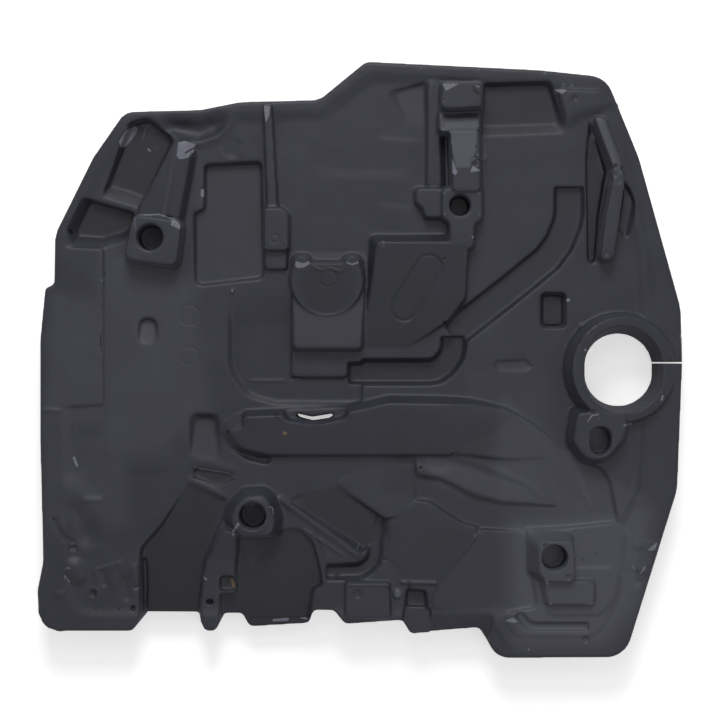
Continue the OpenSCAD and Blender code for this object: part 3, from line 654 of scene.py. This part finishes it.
    def spots(self) -> list[Mark]:
        """Small round chips, rubs and specks, the dark specks partly pits darkened with painted shade: place,
        radius in millimetres and strength.
        """
        groups = {
            Wear.TORN: (
                (155, 146, 0.9, 0.7), (473, 95, 0.7, 0.8), (478, 127, 0.8, 0.8), (477, 163, 0.9, 0.8),
                (569, 300, 2.0, 0.9), (583, 350, 1.4, 0.9), (550, 603, 1.8, 0.85), (529, 650, 1.2, 0.8),
                (639, 547, 0.9, 0.8), (472, 238, 1.5, 0.7), (232, 291, 1.3, 0.8),
            ),
            Wear.RUBBED: (
                (545, 73, 1.6, 0.9), (564, 84, 1.6, 0.9), (572, 85, 1.6, 0.9), (478, 69, 1.3, 0.7),
                (421, 68, 1.3, 0.7), (101, 280, 1.4, 0.9), (444, 194, 1.3, 0.8), (478, 194, 1.3, 0.8),
                (444, 215, 1.3, 0.8), (479, 215, 1.3, 0.8), (383, 243, 2.0, 0.7),
            ),
            # Grime specks, and painted shade in pits and dimples.
            Wear.DIRT_AND_SHADE: (
                (201.5, 187, 1.2, 1.0), (388, 588, 1.4, 1.0), (409, 587, 1.8, 1.0), (543, 544, 1.8, 0.8),
                (596, 553, 1.2, 0.8), (583, 560, 1.2, 0.8), (617, 448, 2.6, 0.9), (592, 410, 1.6, 1.0),
                (614, 167, 2.4, 0.8), (227, 432, 2.0, 1.0), (248, 420, 1.3, 1.0), (277, 416, 2.4, 0.9),
                (350, 417, 1.2, 0.9), (421, 468, 1.6, 1.0), (445, 323, 1.8, 1.0), (444, 259, 1.6, 0.9),
                (477, 132, 1.3, 0.9), (475, 148, 1.3, 0.9), (474, 163, 2.4, 0.6), (53, 519, 1.4, 1.0),
                (143, 561, 1.8, 0.9), (95, 610, 1.3, 1.0), (118, 610, 1.6, 0.9), (132, 609, 2.6, 0.9),
                (93, 594, 2.8, 0.7), (104, 273, 1.2, 0.9), (101, 305, 1.4, 0.7),
            ),
            Wear.RUST: (
                (285, 433, 2.0, 0.9),
            ),
        }
        return [
            Mark(((u, v),), size, wear, strength)
            for wear, places in groups.items()
            for u, v, size, strength in places
        ]

    def scratches(self) -> list[Mark]:
        """Short straight marks: both ends, half width and strength, and the width of the edge."""
        groups = {
            Wear.TORN: (
                (146, 147, 148, 149, 1.0, 0.8, 0.9), (202, 190, 202, 195, 1.8, 0.9, 0.9),
                (137, 216, 160, 215, 0.9, 0.75, 0.9), (160, 215, 181, 222, 0.9, 0.75, 0.9),
                (347, 263, 352, 265, 0.8, 0.95, 0.9), (352, 265, 358, 263, 0.8, 0.95, 0.9),
                (439, 107, 443, 104, 0.6, 0.8, 0.9), (475, 89, 478, 90, 0.7, 0.9, 0.9),
                (450, 133, 451, 145, 0.8, 0.85, 0.9), (475, 71, 481, 73, 0.7, 0.5, 0.9),
                (586, 421, 590, 415, 0.8, 0.8, 0.7), (590, 415, 596, 414, 0.8, 0.8, 0.7),
                (596, 414, 597, 419, 0.5, 0.7, 0.7), (622, 425, 631, 424, 1.0, 0.9, 0.9),
                (662, 396, 661, 400, 1.1, 0.9, 0.9), (681, 335, 683, 346, 0.9, 0.8, 0.9),
                (250, 505, 257, 504, 1.0, 1.0, 0.7), (241, 508, 250, 503, 0.5, 0.8, 0.6),
                (241, 508, 238, 519, 0.5, 0.55, 0.7), (238, 519, 245, 529, 0.5, 0.55, 0.7),
                (245, 529, 258, 530, 0.5, 0.5, 0.7), (257, 505, 264, 511, 0.5, 0.8, 0.6),
                (264, 511, 267, 522, 0.5, 0.7, 0.6), (234, 530, 239, 523, 1.6, 0.8, 0.9),
                (269, 505, 273, 507, 0.5, 0.8, 0.6), (273, 507, 274, 513, 0.5, 0.8, 0.6),
                (73, 458, 76, 466, 1.3, 1.0, 0.9), (64, 570, 67, 568, 0.5, 0.9, 0.6),
                (67, 568, 72, 569, 0.5, 0.9, 0.6), (64, 576, 69, 583, 0.6, 0.9, 0.6),
                (134, 590, 138, 589, 0.6, 0.9, 0.6), (202, 577, 206, 580, 1.0, 0.8, 0.9),
                (273, 623, 287, 622, 1.4, 1.0, 0.9), (301, 620, 306, 621, 1.2, 0.9, 0.9),
                (545, 579, 547, 583, 1.4, 0.85, 0.9), (585, 604, 594, 602, 0.7, 0.85, 0.6),
                (632, 565, 636, 570, 0.6, 0.8, 0.6), (641, 574, 645, 567, 0.9, 0.95, 0.7),
                (650, 560, 651, 564, 0.5, 0.7, 0.6),
            ),
            Wear.RUBBED: (
                (141, 136, 143, 127, 0.6, 0.9, 0.9), (143, 127, 148, 123, 0.7, 0.9, 0.9),
                (142, 124, 152, 128, 2.6, 0.35, 3), (137, 219, 137, 230, 0.8, 0.8, 0.9),
                (442, 97, 441, 105, 0.5, 0.9, 0.9), (441, 131, 446, 131, 0.7, 1.0, 0.9),
                (219, 577, 233, 576, 1.0, 0.9, 0.9), (234, 577, 234, 589, 1.0, 0.9, 0.9),
                (357, 550, 359, 545, 0.9, 0.6, 0.9),
            ),
            # Grime streaks, and painted shade in grooves, notches and the gap at the front end of the right
            # chute.
            Wear.DIRT_AND_SHADE: (
                (126, 125, 131, 122, 0.8, 1.0, 0.9), (131, 122, 136, 122, 1.2, 1.0, 0.9),
                (197, 145, 186, 154, 0.9, 0.8, 0.9), (472, 90, 477, 97, 2.2, 0.6, 0.9),
                (100.5, 335, 100, 345, 0.7, 1.0, 0.9), (100, 345, 102, 352, 0.6, 0.8, 0.9),
                (248, 620, 308, 619, 0.8, 1.0, 0.8), (383, 560, 386, 560, 0.9, 1.0, 0.9),
                (473, 94, 477, 96, 1.8, 0.8, 0.9), (69, 230, 70, 232, 1.8, 0.9, 0.9),
            ),
            Wear.RUST: (
                (231, 581, 233, 588, 1.5, 0.9, 0.9),
            ),
        }
        return [
            Mark(((u_1, v_1), (u_2, v_2)), size, wear, strength, soft)
            for wear, places in groups.items()
            for u_1, v_1, u_2, v_2, size, strength, soft in places
        ]

    def marks(self) -> list[Mark]:
        """Chips, rubs, grime and rust that the photograph shows, with painted shade in pits and gaps."""
        torn, rub = Wear.TORN, Wear.RUBBED
        return [
            Mark(((119, 141), (126, 130), (133, 124), (136, 127), (131, 135), (124, 144), (120, 146)),
                 0.3, torn, 1.0, 0.9, 22, True),
            Mark(((179, 144), (185, 141), (195, 144), (193, 152), (189, 158), (181, 160), (178, 158)),
                 0.3, torn),
            Mark(((174, 220), (182, 224), (181, 230), (173, 226)), 0.5, torn),
            Mark(((264, 106), (270, 107), (269, 115), (266, 122)), 0.4, torn, 0.9),
            Mark(((295.5, 266), (296.5, 262), (303, 264), (309, 262), (310, 264), (305, 267.5),
                  (298, 268.5)), 0.3, torn, 0.95),
            Mark(((442, 87), (457, 87), (450, 91), (445, 93.5)), 0.3, torn),
            Mark(((452, 134), (475, 134), (474, 152), (468, 168), (456, 168), (452, 150)), 0.8, rub,
                 1.0, 2.4, 50),
            Mark(((450, 158), (456, 174), (454, 176), (450, 170)), 0.6, torn),
            Mark(((472, 168), (479, 172), (470, 173)), 0.6, torn, 0.9),
            Mark(((445, 120), (478, 120), (476, 129), (445, 129)), 0.6, rub, 0.6, 4),
            Mark(((556, 89), (566, 90), (562, 93)), 0.6, torn, 0.95),
            Mark(((233.5, 534),), 1.1, torn, 1.0, 0.6),
            Mark(((260, 536),), 0.9, torn, 1.0, 0.6),
            Mark(((398, 594),), 4.0, rub, 0.8, 3),
            Mark(((506, 621), (513, 618), (518, 622), (513, 623)), 0.3, torn, 0.95),
            Mark(((648, 550.5), (653, 546), (658, 542), (655, 550)), 0.3, torn, 0.95),
        ] + self.scratches() + self.spots()


@dataclass(frozen=True)
class FoamSkin:
    """The closed skin of moulded foam: charcoal, slightly blue, matte with a soft sheen.

    Each colour is named for what it shows, painted shade and painted light among them; sizes are in
    millimetres.
    """

    skin: str = "2a2b32"
    skin_pale: str = "33343c"
    # Painted shade for the skin's low places.
    recess_shade: str = "202126"
    # Painted shade for broad patches.
    painted_shade_colour: str = "131419"
    # Painted light for broad patches, and to lighten steep walls.
    painted_light_colour: str = "60616a"
    torn: str = "8a8a96"
    torn_dark: str = "64646e"
    # Grime, also used as painted shade in pits, notches and gaps.
    rubbed: str = "565862"
    dirt_and_shade: str = "121214"
    rust: str = "74614c"
    grain_mm: float = 0.9
    ragged_mm: float = 1.6
    fine_mm: float = 2.4
    wave_mm: float = 21.0
    blotch_mm: float = 38.0
    roughness: float = 0.46
    wall_roughness: float = 0.85
    torn_roughness: float = 0.9
    specular: float = 0.24

    def material(self) -> bpy.types.Material:
        """Builds the material: the matte, faintly mottled skin that gives the cover its look, with painted
        shade and painted light laid into its colour.
        """
        mat = bpy.data.materials.new("moulded_foam_skin")
        mat.use_nodes = True
        tree = mat.node_tree
        tree.nodes.clear()
        out = node(tree, "ShaderNodeOutputMaterial")
        shader = node(tree, "ShaderNodeBsdfPrincipled")
        tree.links.new(shader.outputs["BSDF"], out.inputs["Surface"])
        coords = node(tree, "ShaderNodeTexCoord").outputs["Object"]

        blotch = self.noise(tree, coords, self.blotch_mm, 5.0)
        fine = self.noise(tree, coords, self.fine_mm, 3.0)
        base = mix(tree, ranged(tree, blotch, 0.36, 0.68), linear(self.skin), linear(self.skin_pale))
        base = mix(tree, ranged(tree, fine, 0.3, 1.3), base, linear(self.skin_pale))

        height = node(tree, "ShaderNodeSeparateXYZ")
        tree.links.new(coords, height.inputs[0])
        # Painted shade: the skin grows darker from 39 mm down to 24 mm above the rest plane.
        depth_shade = ranged(tree, height.outputs["Z"], 0.039, 0.024)
        base = mix(tree, times(tree, depth_shade, 0.85), base, linear(self.recess_shade))
        # Painted shade and painted light in broad patches.
        base = mix(tree, self.amount(tree, Wear.PAINTED_SHADE.value), base, linear(self.painted_shade_colour))
        base = mix(tree, self.amount(tree, Wear.PAINTED_LIGHT.value), base, linear(self.painted_light_colour))
        # Painted light: steep walls are lightened towards the paler colour.
        wall = self.amount(tree, WALL_LAYER)
        base = mix(tree, times(tree, wall, 0.35), base, linear(self.painted_light_colour))
        # Painted light: the skin grows paler from 42 mm up to 62 mm above the rest plane.
        high = ranged(tree, height.outputs["Z"], 0.042, 0.062)
        base = mix(tree, times(tree, high, 0.4), base, linear(self.skin_pale))

        ragged = self.noise(tree, coords, self.ragged_mm, 4.0)
        torn = self.edge(tree, Wear.TORN, ragged, 0.35, (0.36, 0.6))
        rubbed = self.edge(tree, Wear.RUBBED, fine, 0.2, (0.15, 0.95))
        dirt_and_shade = self.edge(tree, Wear.DIRT_AND_SHADE, ragged, 0.3, (0.34, 0.7))
        rust = self.edge(tree, Wear.RUST, ragged, 0.5, (0.3, 0.8))
        torn_tone = mix(tree, ragged, linear(self.torn_dark), linear(self.torn))
        base = mix(tree, rubbed, base, linear(self.rubbed))
        base = mix(tree, torn, base, torn_tone)
        base = mix(tree, rust, base, linear(self.rust))
        # Grime, with painted shade in pits, notches and gaps.
        base = mix(tree, dirt_and_shade, base, linear(self.dirt_and_shade))
        tree.links.new(base, shader.inputs["Base Color"])

        sheen = ranged(tree, blotch, 0.3, 0.7, self.roughness - 0.05, self.roughness + 0.07)
        rough = mix(tree, wall, sheen, self.wall_roughness, "FLOAT")
        rough = mix(tree, torn, rough, self.torn_roughness, "FLOAT")
        tree.links.new(rough, shader.inputs["Roughness"])
        shader.inputs["Specular IOR Level"].default_value = self.specular

        grain = self.noise(tree, coords, self.grain_mm, 2.0)
        waves = self.noise(tree, coords, self.wave_mm, 2.0)
        normal = self.bump(tree, grain, 0.16, 0.4)
        normal = self.bump(tree, waves, 0.35, 1.6, normal)
        normal = self.bump(tree, ragged, times(tree, torn, 0.8), 1.2, normal)
        tree.links.new(normal, shader.inputs["Normal"])
        return mat

    def noise(self, tree: Tree, coords: Socket, size_mm: float,
              detail: float) -> Socket:
        """Adds a noise whose patches are about size_mm across."""
        tex = node(tree, "ShaderNodeTexNoise")
        tex.inputs["Scale"].default_value = 1.0 / (size_mm * MM)
        tex.inputs["Detail"].default_value = detail
        tree.links.new(coords, tex.inputs["Vector"])
        return tex.outputs["Fac"]

    def bump(self, tree: Tree, height: Socket, strength: object,
             depth_mm: float, normal: Socket | None = None) -> Socket:
        """Adds a bump over the one before it, if there is one."""
        item = node(tree, "ShaderNodeBump")
        put(tree, strength, item.inputs["Strength"])
        item.inputs["Distance"].default_value = depth_mm * MM
        tree.links.new(height, item.inputs["Height"])
        if normal is not None:
            tree.links.new(normal, item.inputs["Normal"])
        return item.outputs["Normal"]

    def amount(self, tree: Tree, name: str) -> Socket:
        """Adds a mesh attribute as a value."""
        attr = node(tree, "ShaderNodeAttribute")
        attr.attribute_name = name
        return attr.outputs["Fac"]

    def edge(self, tree: Tree, wear: Wear, ragged: Socket,
             fray: float, span: tuple[float, float]) -> Socket:
        """Adds a mark's mask from its mesh attribute.

        Args:
            tree: The material's node tree.
            wear: The kind of mark.
            ragged: A noise that frays the mask's edge.
            fray: How far the noise shifts it.
            span: Values of the shifted mask at which the mark begins and is full.

        Returns:
            The mask's socket.
        """
        amount = self.amount(tree, wear.value)
        shift = times(tree, maths(tree, "SUBTRACT", ragged, 0.5), fray)
        sharp = ranged(tree, maths(tree, "ADD", amount, shift), *span)
        return times(tree, sharp, ranged(tree, amount, 0.02, 0.12))


def node(tree: Tree, kind: str) -> bpy.types.Node:
    """Adds a node of a kind to a tree."""
    return tree.nodes.new(kind)


def put(tree: Tree, value: object, socket: Socket) -> None:
    """Links a socket's value, or sets it where it is plain."""
    if isinstance(value, Socket):
        tree.links.new(value, socket)
    else:
        socket.default_value = value


def ranged(tree: Tree, value: Socket, low: float, high: float,
           out_low: float = 0.0, out_high: float = 1.0) -> Socket:
    """Maps low..high to out_low..out_high, clamped."""
    item = node(tree, "ShaderNodeMapRange")
    tree.links.new(value, item.inputs["Value"])
    for name, amount in (("From Min", low), ("From Max", high), ("To Min", out_low), ("To Max", out_high)):
        item.inputs[name].default_value = amount
    return item.outputs["Result"]


def maths(tree: Tree, operation: str, first: object, second: object) -> Socket:
    """Adds a sum of two values, each a socket or a plain number."""
    item = node(tree, "ShaderNodeMath")
    item.operation = operation
    put(tree, first, item.inputs[0])
    put(tree, second, item.inputs[1])
    return item.outputs[0]


def times(tree: Tree, value: object, factor: object) -> Socket:
    """Multiplies two values."""
    return maths(tree, "MULTIPLY", value, factor)


def mix(tree: Tree, factor: object, low: object, high: object,
        kind: str = "RGBA") -> Socket:
    """Mixes two colours, or two values.

    Args:
        tree: The node tree.
        factor: Share of the second one, a socket or a plain number.
        low: The first one, a socket or a plain value.
        high: The second one.
        kind: RGBA for colours and FLOAT for values.

    Returns:
        The result's socket.
    """
    item = node(tree, "ShaderNodeMix")
    item.data_type = kind
    first, second, result = MIX_SOCKETS[kind]
    put(tree, factor, item.inputs[0])
    put(tree, low, item.inputs[first])
    put(tree, high, item.inputs[second])
    return item.outputs[result]


def shown(tree: Tree, path: bpy.types.Node) -> Socket:
    """Tells whether a ray is the camera's own, or a mirror or glass ray that shows the background."""
    total = path.outputs["Is Camera Ray"]
    for name in ("Is Glossy Ray", "Is Transmission Ray"):
        total = maths(tree, "MAXIMUM", total, path.outputs[name])
    return total


@dataclass(frozen=True)
class CoverMoulding:
    """The cover itself, rounded and carved from a copy of its CAD solid.

    Args:
        voxel_mm: Fineness of the remeshed skin.
        smooth_rounds: Rounds of smoothing, which make the moulding's fillets.
        thin_faces: Triangles that stay after thinning.
        spread: Share of the points that stays on flat skin.
        tone_spread: Share of the points that stays in a broad soft patch.
        slit_mm: Width of the slit from the filler opening to the right edge.
        slit_from: X of the slit's inner end, inside the filler opening, in metres.
        slit_y: Y of the slit, in metres.
        relief_from: Height above which points of fine forms and marks stay, in metres.
        carve_span: Rise of the upward normal over which forms come in beside a wall.
        mark_span: The same for marks.
    """

    voxel_mm: float = 1.2
    smooth_rounds: int = 6
    thin_faces: int = 190000
    spread: float = 0.015
    tone_spread: float = 0.05
    slit_mm: float = 1.4
    slit_from: float = 0.283
    slit_y: float = -0.0028
    relief_from: float = 0.024
    carve_span: float = 0.4
    mark_span: float = 0.3

    def build(self) -> bpy.types.Object:
        """Builds the carved mesh and links it into the scene.

        Returns:
            The cover's object, at the origin.
        """
        body = self.solid_copy()
        self.remeshed(body)
        relief = MouldedRelief()
        self.cornered(body.data, relief.rim_corners())
        self.carved(body.data, relief.fills())
        self.smoothed(body.data)
        self.carved(body.data, relief.soft_forms() + relief.fine_forms())
        self.thinned(body, relief)
        self.opened(body)
        return body

    def solid_copy(self) -> bpy.types.Object:
        """Copies the CAD node, with its slit closed so that the remesh bridges it."""
        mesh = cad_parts["cover"].data.copy()
        mesh.name = "cover_moulding"
        form = bmesh.new()
        form.from_mesh(mesh)
        bmesh.ops.remove_doubles(form, verts=form.verts, dist=1e-5)
        for vert in form.verts:
            off = vert.co.y - self.slit_y
            if vert.co.x > self.slit_from - 0.001 and abs(off) < self.slit_mm * MM:
                vert.co.y = self.slit_y - off
        form.to_mesh(mesh)
        form.free()
        mesh.materials.clear()
        body = bpy.data.objects.new("cover_moulding", mesh)
        bpy.context.scene.collection.objects.link(body)
        return body

    def evaluated(self, body: bpy.types.Object) -> None:
        """Makes the result of an object's modifiers its own mesh."""
        graph = bpy.context.evaluated_depsgraph_get()
        fresh = bpy.data.meshes.new_from_object(body.evaluated_get(graph))
        body.modifiers.clear()
        old = body.data
        body.data = fresh
        bpy.data.meshes.remove(old)
        fresh.name = "cover_moulding"

    def remeshed(self, body: bpy.types.Object) -> None:
        """Gives the skin one even mesh."""
        step = body.modifiers.new("skin", "REMESH")
        step.mode = "VOXEL"
        step.voxel_size = self.voxel_mm * MM
        self.evaluated(body)
        LOG.info("remeshed skin: %d faces", len(body.data.polygons))

    def smoothed(self, mesh: bpy.types.Mesh) -> None:
        """Rounds the edges by moving each point towards the middle of its neighbours."""
        count = len(mesh.vertices)
        co = points_of(mesh)
        ends = np.empty(len(mesh.edges) * 2, np.int64)
        mesh.edges.foreach_get("vertices", ends)
        a, b = ends.reshape(-1, 2).T
        valence = np.bincount(np.concatenate([a, b]), minlength=count).astype(float)
        for _ in range(self.smooth_rounds):
            middle = np.column_stack([
                np.bincount(a, co[b, k], count) + np.bincount(b, co[a, k], count) for k in range(3)
            ]) / valence[:, None]
            co += 0.5 * (middle - co)
        move_points(mesh, co)

    def cornered(self, mesh: bpy.types.Mesh, corners: Sequence[RimCorner]) -> None:
        """Turns the flats at the outline's corners into true arcs."""
        co = points_of(mesh)
        for corner in corners:
            pick = near(co[:, :2], (corner.corner,), 2 * corner.radius * MM)
            co[pick, :2] = corner.rounded(co[pick, :2])
        move_points(mesh, co)

    def carved(self, mesh: bpy.types.Mesh, forms: Sequence[Form]) -> None:
        """Adds forms to the engine side by lifting its points."""
        co = points_of(mesh)
        facing = facing_up(mesh, self.carve_span)
        lift = np.zeros(len(co))
        for form in forms:
            pick = near(co[:, :2], form.path, form.reach())
            amount = form.lift(co[pick, :2])
            if isinstance(form, Area):
                amount = np.minimum(amount, np.maximum(form.below * MM - co[pick, 2], 0))
            lift[pick] += amount
        co[:, 2] += lift * facing
        move_points(mesh, co)

    def thinned(self, body: bpy.types.Object, relief: MouldedRelief) -> None:
        """Drops triangles where the skin is nearly flat and shows nothing fine.

        Args:
            body: The carved skin.
            relief: Its fine forms, marks and tones, where more points stay.
        """
        co = points_of(body.data)
        chance = np.random.default_rng(SEED).random(len(co))
        kept = chance < self.spread
        for tone in relief.tones():
            pick = touched(co[:, :2], tone)
            kept[pick] |= chance[pick] < self.tone_spread
        for item in relief.fine_forms() + relief.marks():
            kept[touched(co[:, :2], item)] = True
        kept &= co[:, 2] > self.relief_from
        free = body.vertex_groups.new(name="free")
        free.add(np.nonzero(~kept)[0].tolist(), 1.0, "REPLACE")
        step = body.modifiers.new("thin", "DECIMATE")
        step.ratio = self.thin_faces / (2 * len(body.data.polygons))
        step.vertex_group = free.name
        step.use_collapse_triangulate = True
        self.evaluated(body)
        body.vertex_groups.clear()
        LOG.info("thinned skin: %d faces, %d points kept on purpose", len(body.data.polygons), kept.sum())

    def opened(self, body: bpy.types.Object) -> None:
        """Cuts the slit through the finished skin, from the filler opening to the edge."""
        form = bmesh.new()
        bmesh.ops.create_cube(form, size=1.0)
        bmesh.ops.scale(form, vec=(0.1, self.slit_mm * MM, 0.2), verts=form.verts)
        bmesh.ops.translate(form, vec=(self.slit_from + 0.05, self.slit_y, 0.04), verts=form.verts)
        blade = bpy.data.meshes.new("slit_blade")
        form.to_mesh(blade)
        form.free()
        cutter = bpy.data.objects.new("slit_blade", blade)
        bpy.context.scene.collection.objects.link(cutter)
        step = body.modifiers.new("slit", "BOOLEAN")
        step.operation = "DIFFERENCE"
        step.solver = "EXACT"
        step.object = cutter
        self.evaluated(body)
        bpy.data.objects.remove(cutter)
        bpy.data.meshes.remove(blade)
        LOG.info("slit cut: %d faces", len(body.data.polygons))

    def dress(self, body: bpy.types.Object) -> None:
        """Gives the cover its marks, material and place in the frame."""
        mesh = body.data
        co = points_of(mesh)
        xy, z = co[:, :2], co[:, 2]
        facing = facing_up(mesh, self.mark_span)
        masks = {wear: np.zeros(len(co)) for wear in Wear}
        relief = MouldedRelief()
        for mark in relief.marks() + relief.tones():
            pick = near(xy, mark.path, mark.reach())
            level = 1.0 if mark.steep or mark.wear in (Wear.PAINTED_SHADE, Wear.PAINTED_LIGHT) else facing[pick]
            seen = mark.cover(xy[pick]) * level * (z[pick] > mark.above * MM)
            masks[mark.wear][pick] = np.maximum(masks[mark.wear][pick], seen)
        layers = {wear.value: mask for wear, mask in masks.items()}
        layers[WALL_LAYER] = 1 - facing
        for name, values in layers.items():
            layer = mesh.attributes.new(name, "FLOAT", "POINT")
            layer.data.foreach_set("value", values.astype(np.float32))
        mesh.materials.clear()
        mesh.materials.append(FoamSkin().material())
        mesh.shade_smooth()
        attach(body, "root")
        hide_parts("cover")


@dataclass(frozen=True)
class Studio:
    """Floor, soft lamps and the camera straight above.

    Args:
        camera_height: Height of the camera over the rest plane, in metres.
        reference: Height at which the picture shows its own width, in metres.
        picture: Width of the picture at that height, in metres.
    """

    camera_height: float = 1.846
    reference: float = 0.046
    picture: float = 0.720

    def build(self) -> None:
        """Builds the floor, lamps, world and camera."""
        self.floor()
        self.lamp("key", (-0.1, 1.9, 1.7), (0.0, -0.1, 0.04), 0.9, 34.0)
        self.lamp("sheen", (0.0, 0.85, 2.1), (0.0, 0.0, 0.04), 0.7, 3.5)
        self.lamp("fill", (0.7, -0.8, 2.0), (0.2, -0.2, 0.04), 1.0, 4.0)
        self.world()
        self.camera()

    def floor(self) -> None:
        """Pale floor that stays white to the camera and keeps the cover's shadow."""
        form = bmesh.new()
        bmesh.ops.create_grid(form, x_segments=1, y_segments=1, size=3.0)
        bmesh.ops.translate(form, verts=form.verts, vec=(0, 0, -0.0005))
        mesh = bpy.data.meshes.new("studio_floor")
        form.to_mesh(mesh)
        form.free()
        floor = bpy.data.objects.new("studio_floor", mesh)
        bpy.context.scene.collection.objects.link(floor)
        # Pale matte floor: white to the camera, with the cover's soft shadow on it.
        mat = bpy.data.materials.new("pale_floor")
        mat.use_nodes = True
        tree = mat.node_tree
        shader = tree.nodes["Principled BSDF"]
        shader.inputs["Base Color"].default_value = linear("f4f4f4")
        shader.inputs["Roughness"].default_value = 0.9
        shader.inputs["Specular IOR Level"].default_value = 0.0
        seen = shown(tree, node(tree, "ShaderNodeLightPath"))
        tree.links.new(times(tree, seen, 0.55), shader.inputs["Emission Strength"])
        shader.inputs["Emission Color"].default_value = (1, 1, 1, 1)
        mesh.materials.append(mat)

    def lamp(self, name: str, place: Place, target: Place, size: float, power: float) -> None:
        """Adds a square soft lamp that points at a target."""
        data = bpy.data.lights.new(name, "AREA")
        data.size = size
        data.energy = power
        lamp = bpy.data.objects.new(name, data)
        lamp.location = place
        lamp.rotation_euler = (Vector(target) - Vector(place)).to_track_quat("-Z", "Y").to_euler()
        bpy.context.scene.collection.objects.link(lamp)

    def world(self) -> None:
        """White to the camera, a plain soft grey to everything else."""
        world = bpy.data.worlds.new("studio")
        world.use_nodes = True
        tree = world.node_tree
        back = tree.nodes["Background"]
        back.inputs["Color"].default_value = (1, 1, 1, 1)
        seen = shown(tree, node(tree, "ShaderNodeLightPath"))
        strength = ranged(tree, seen, 0.0, 1.0, 0.24, 1.0)
        tree.links.new(strength, back.inputs["Strength"])
        bpy.context.scene.world = world

    def camera(self) -> None:
        """Adds the camera straight above the middle of the cover."""
        data = bpy.data.cameras.new("above")
        data.sensor_width = 36.0
        data.lens = 36.0 * (self.camera_height - self.reference) / self.picture
        data.clip_end = 10.0
        camera = bpy.data.objects.new("above", data)
        camera.location = (0.0, 0.0, self.camera_height)
        bpy.context.scene.collection.objects.link(camera)
        bpy.context.scene.camera = camera


def main() -> None:
    """Builds the cover and its studio, piece by piece."""
    logging.basicConfig(level=logging.INFO, format="%(message)s")
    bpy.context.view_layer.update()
    moulding = CoverMoulding()
    body = moulding.build()
    moulding.dress(body)
    LOG.info("cover moulding: %d faces", len(body.data.polygons))
    Studio().build()
    LOG.info("studio: floor, lamps and camera")


if __name__ == "__main__":
    main()
    bpy.context.scene.view_settings.view_transform = "Standard"
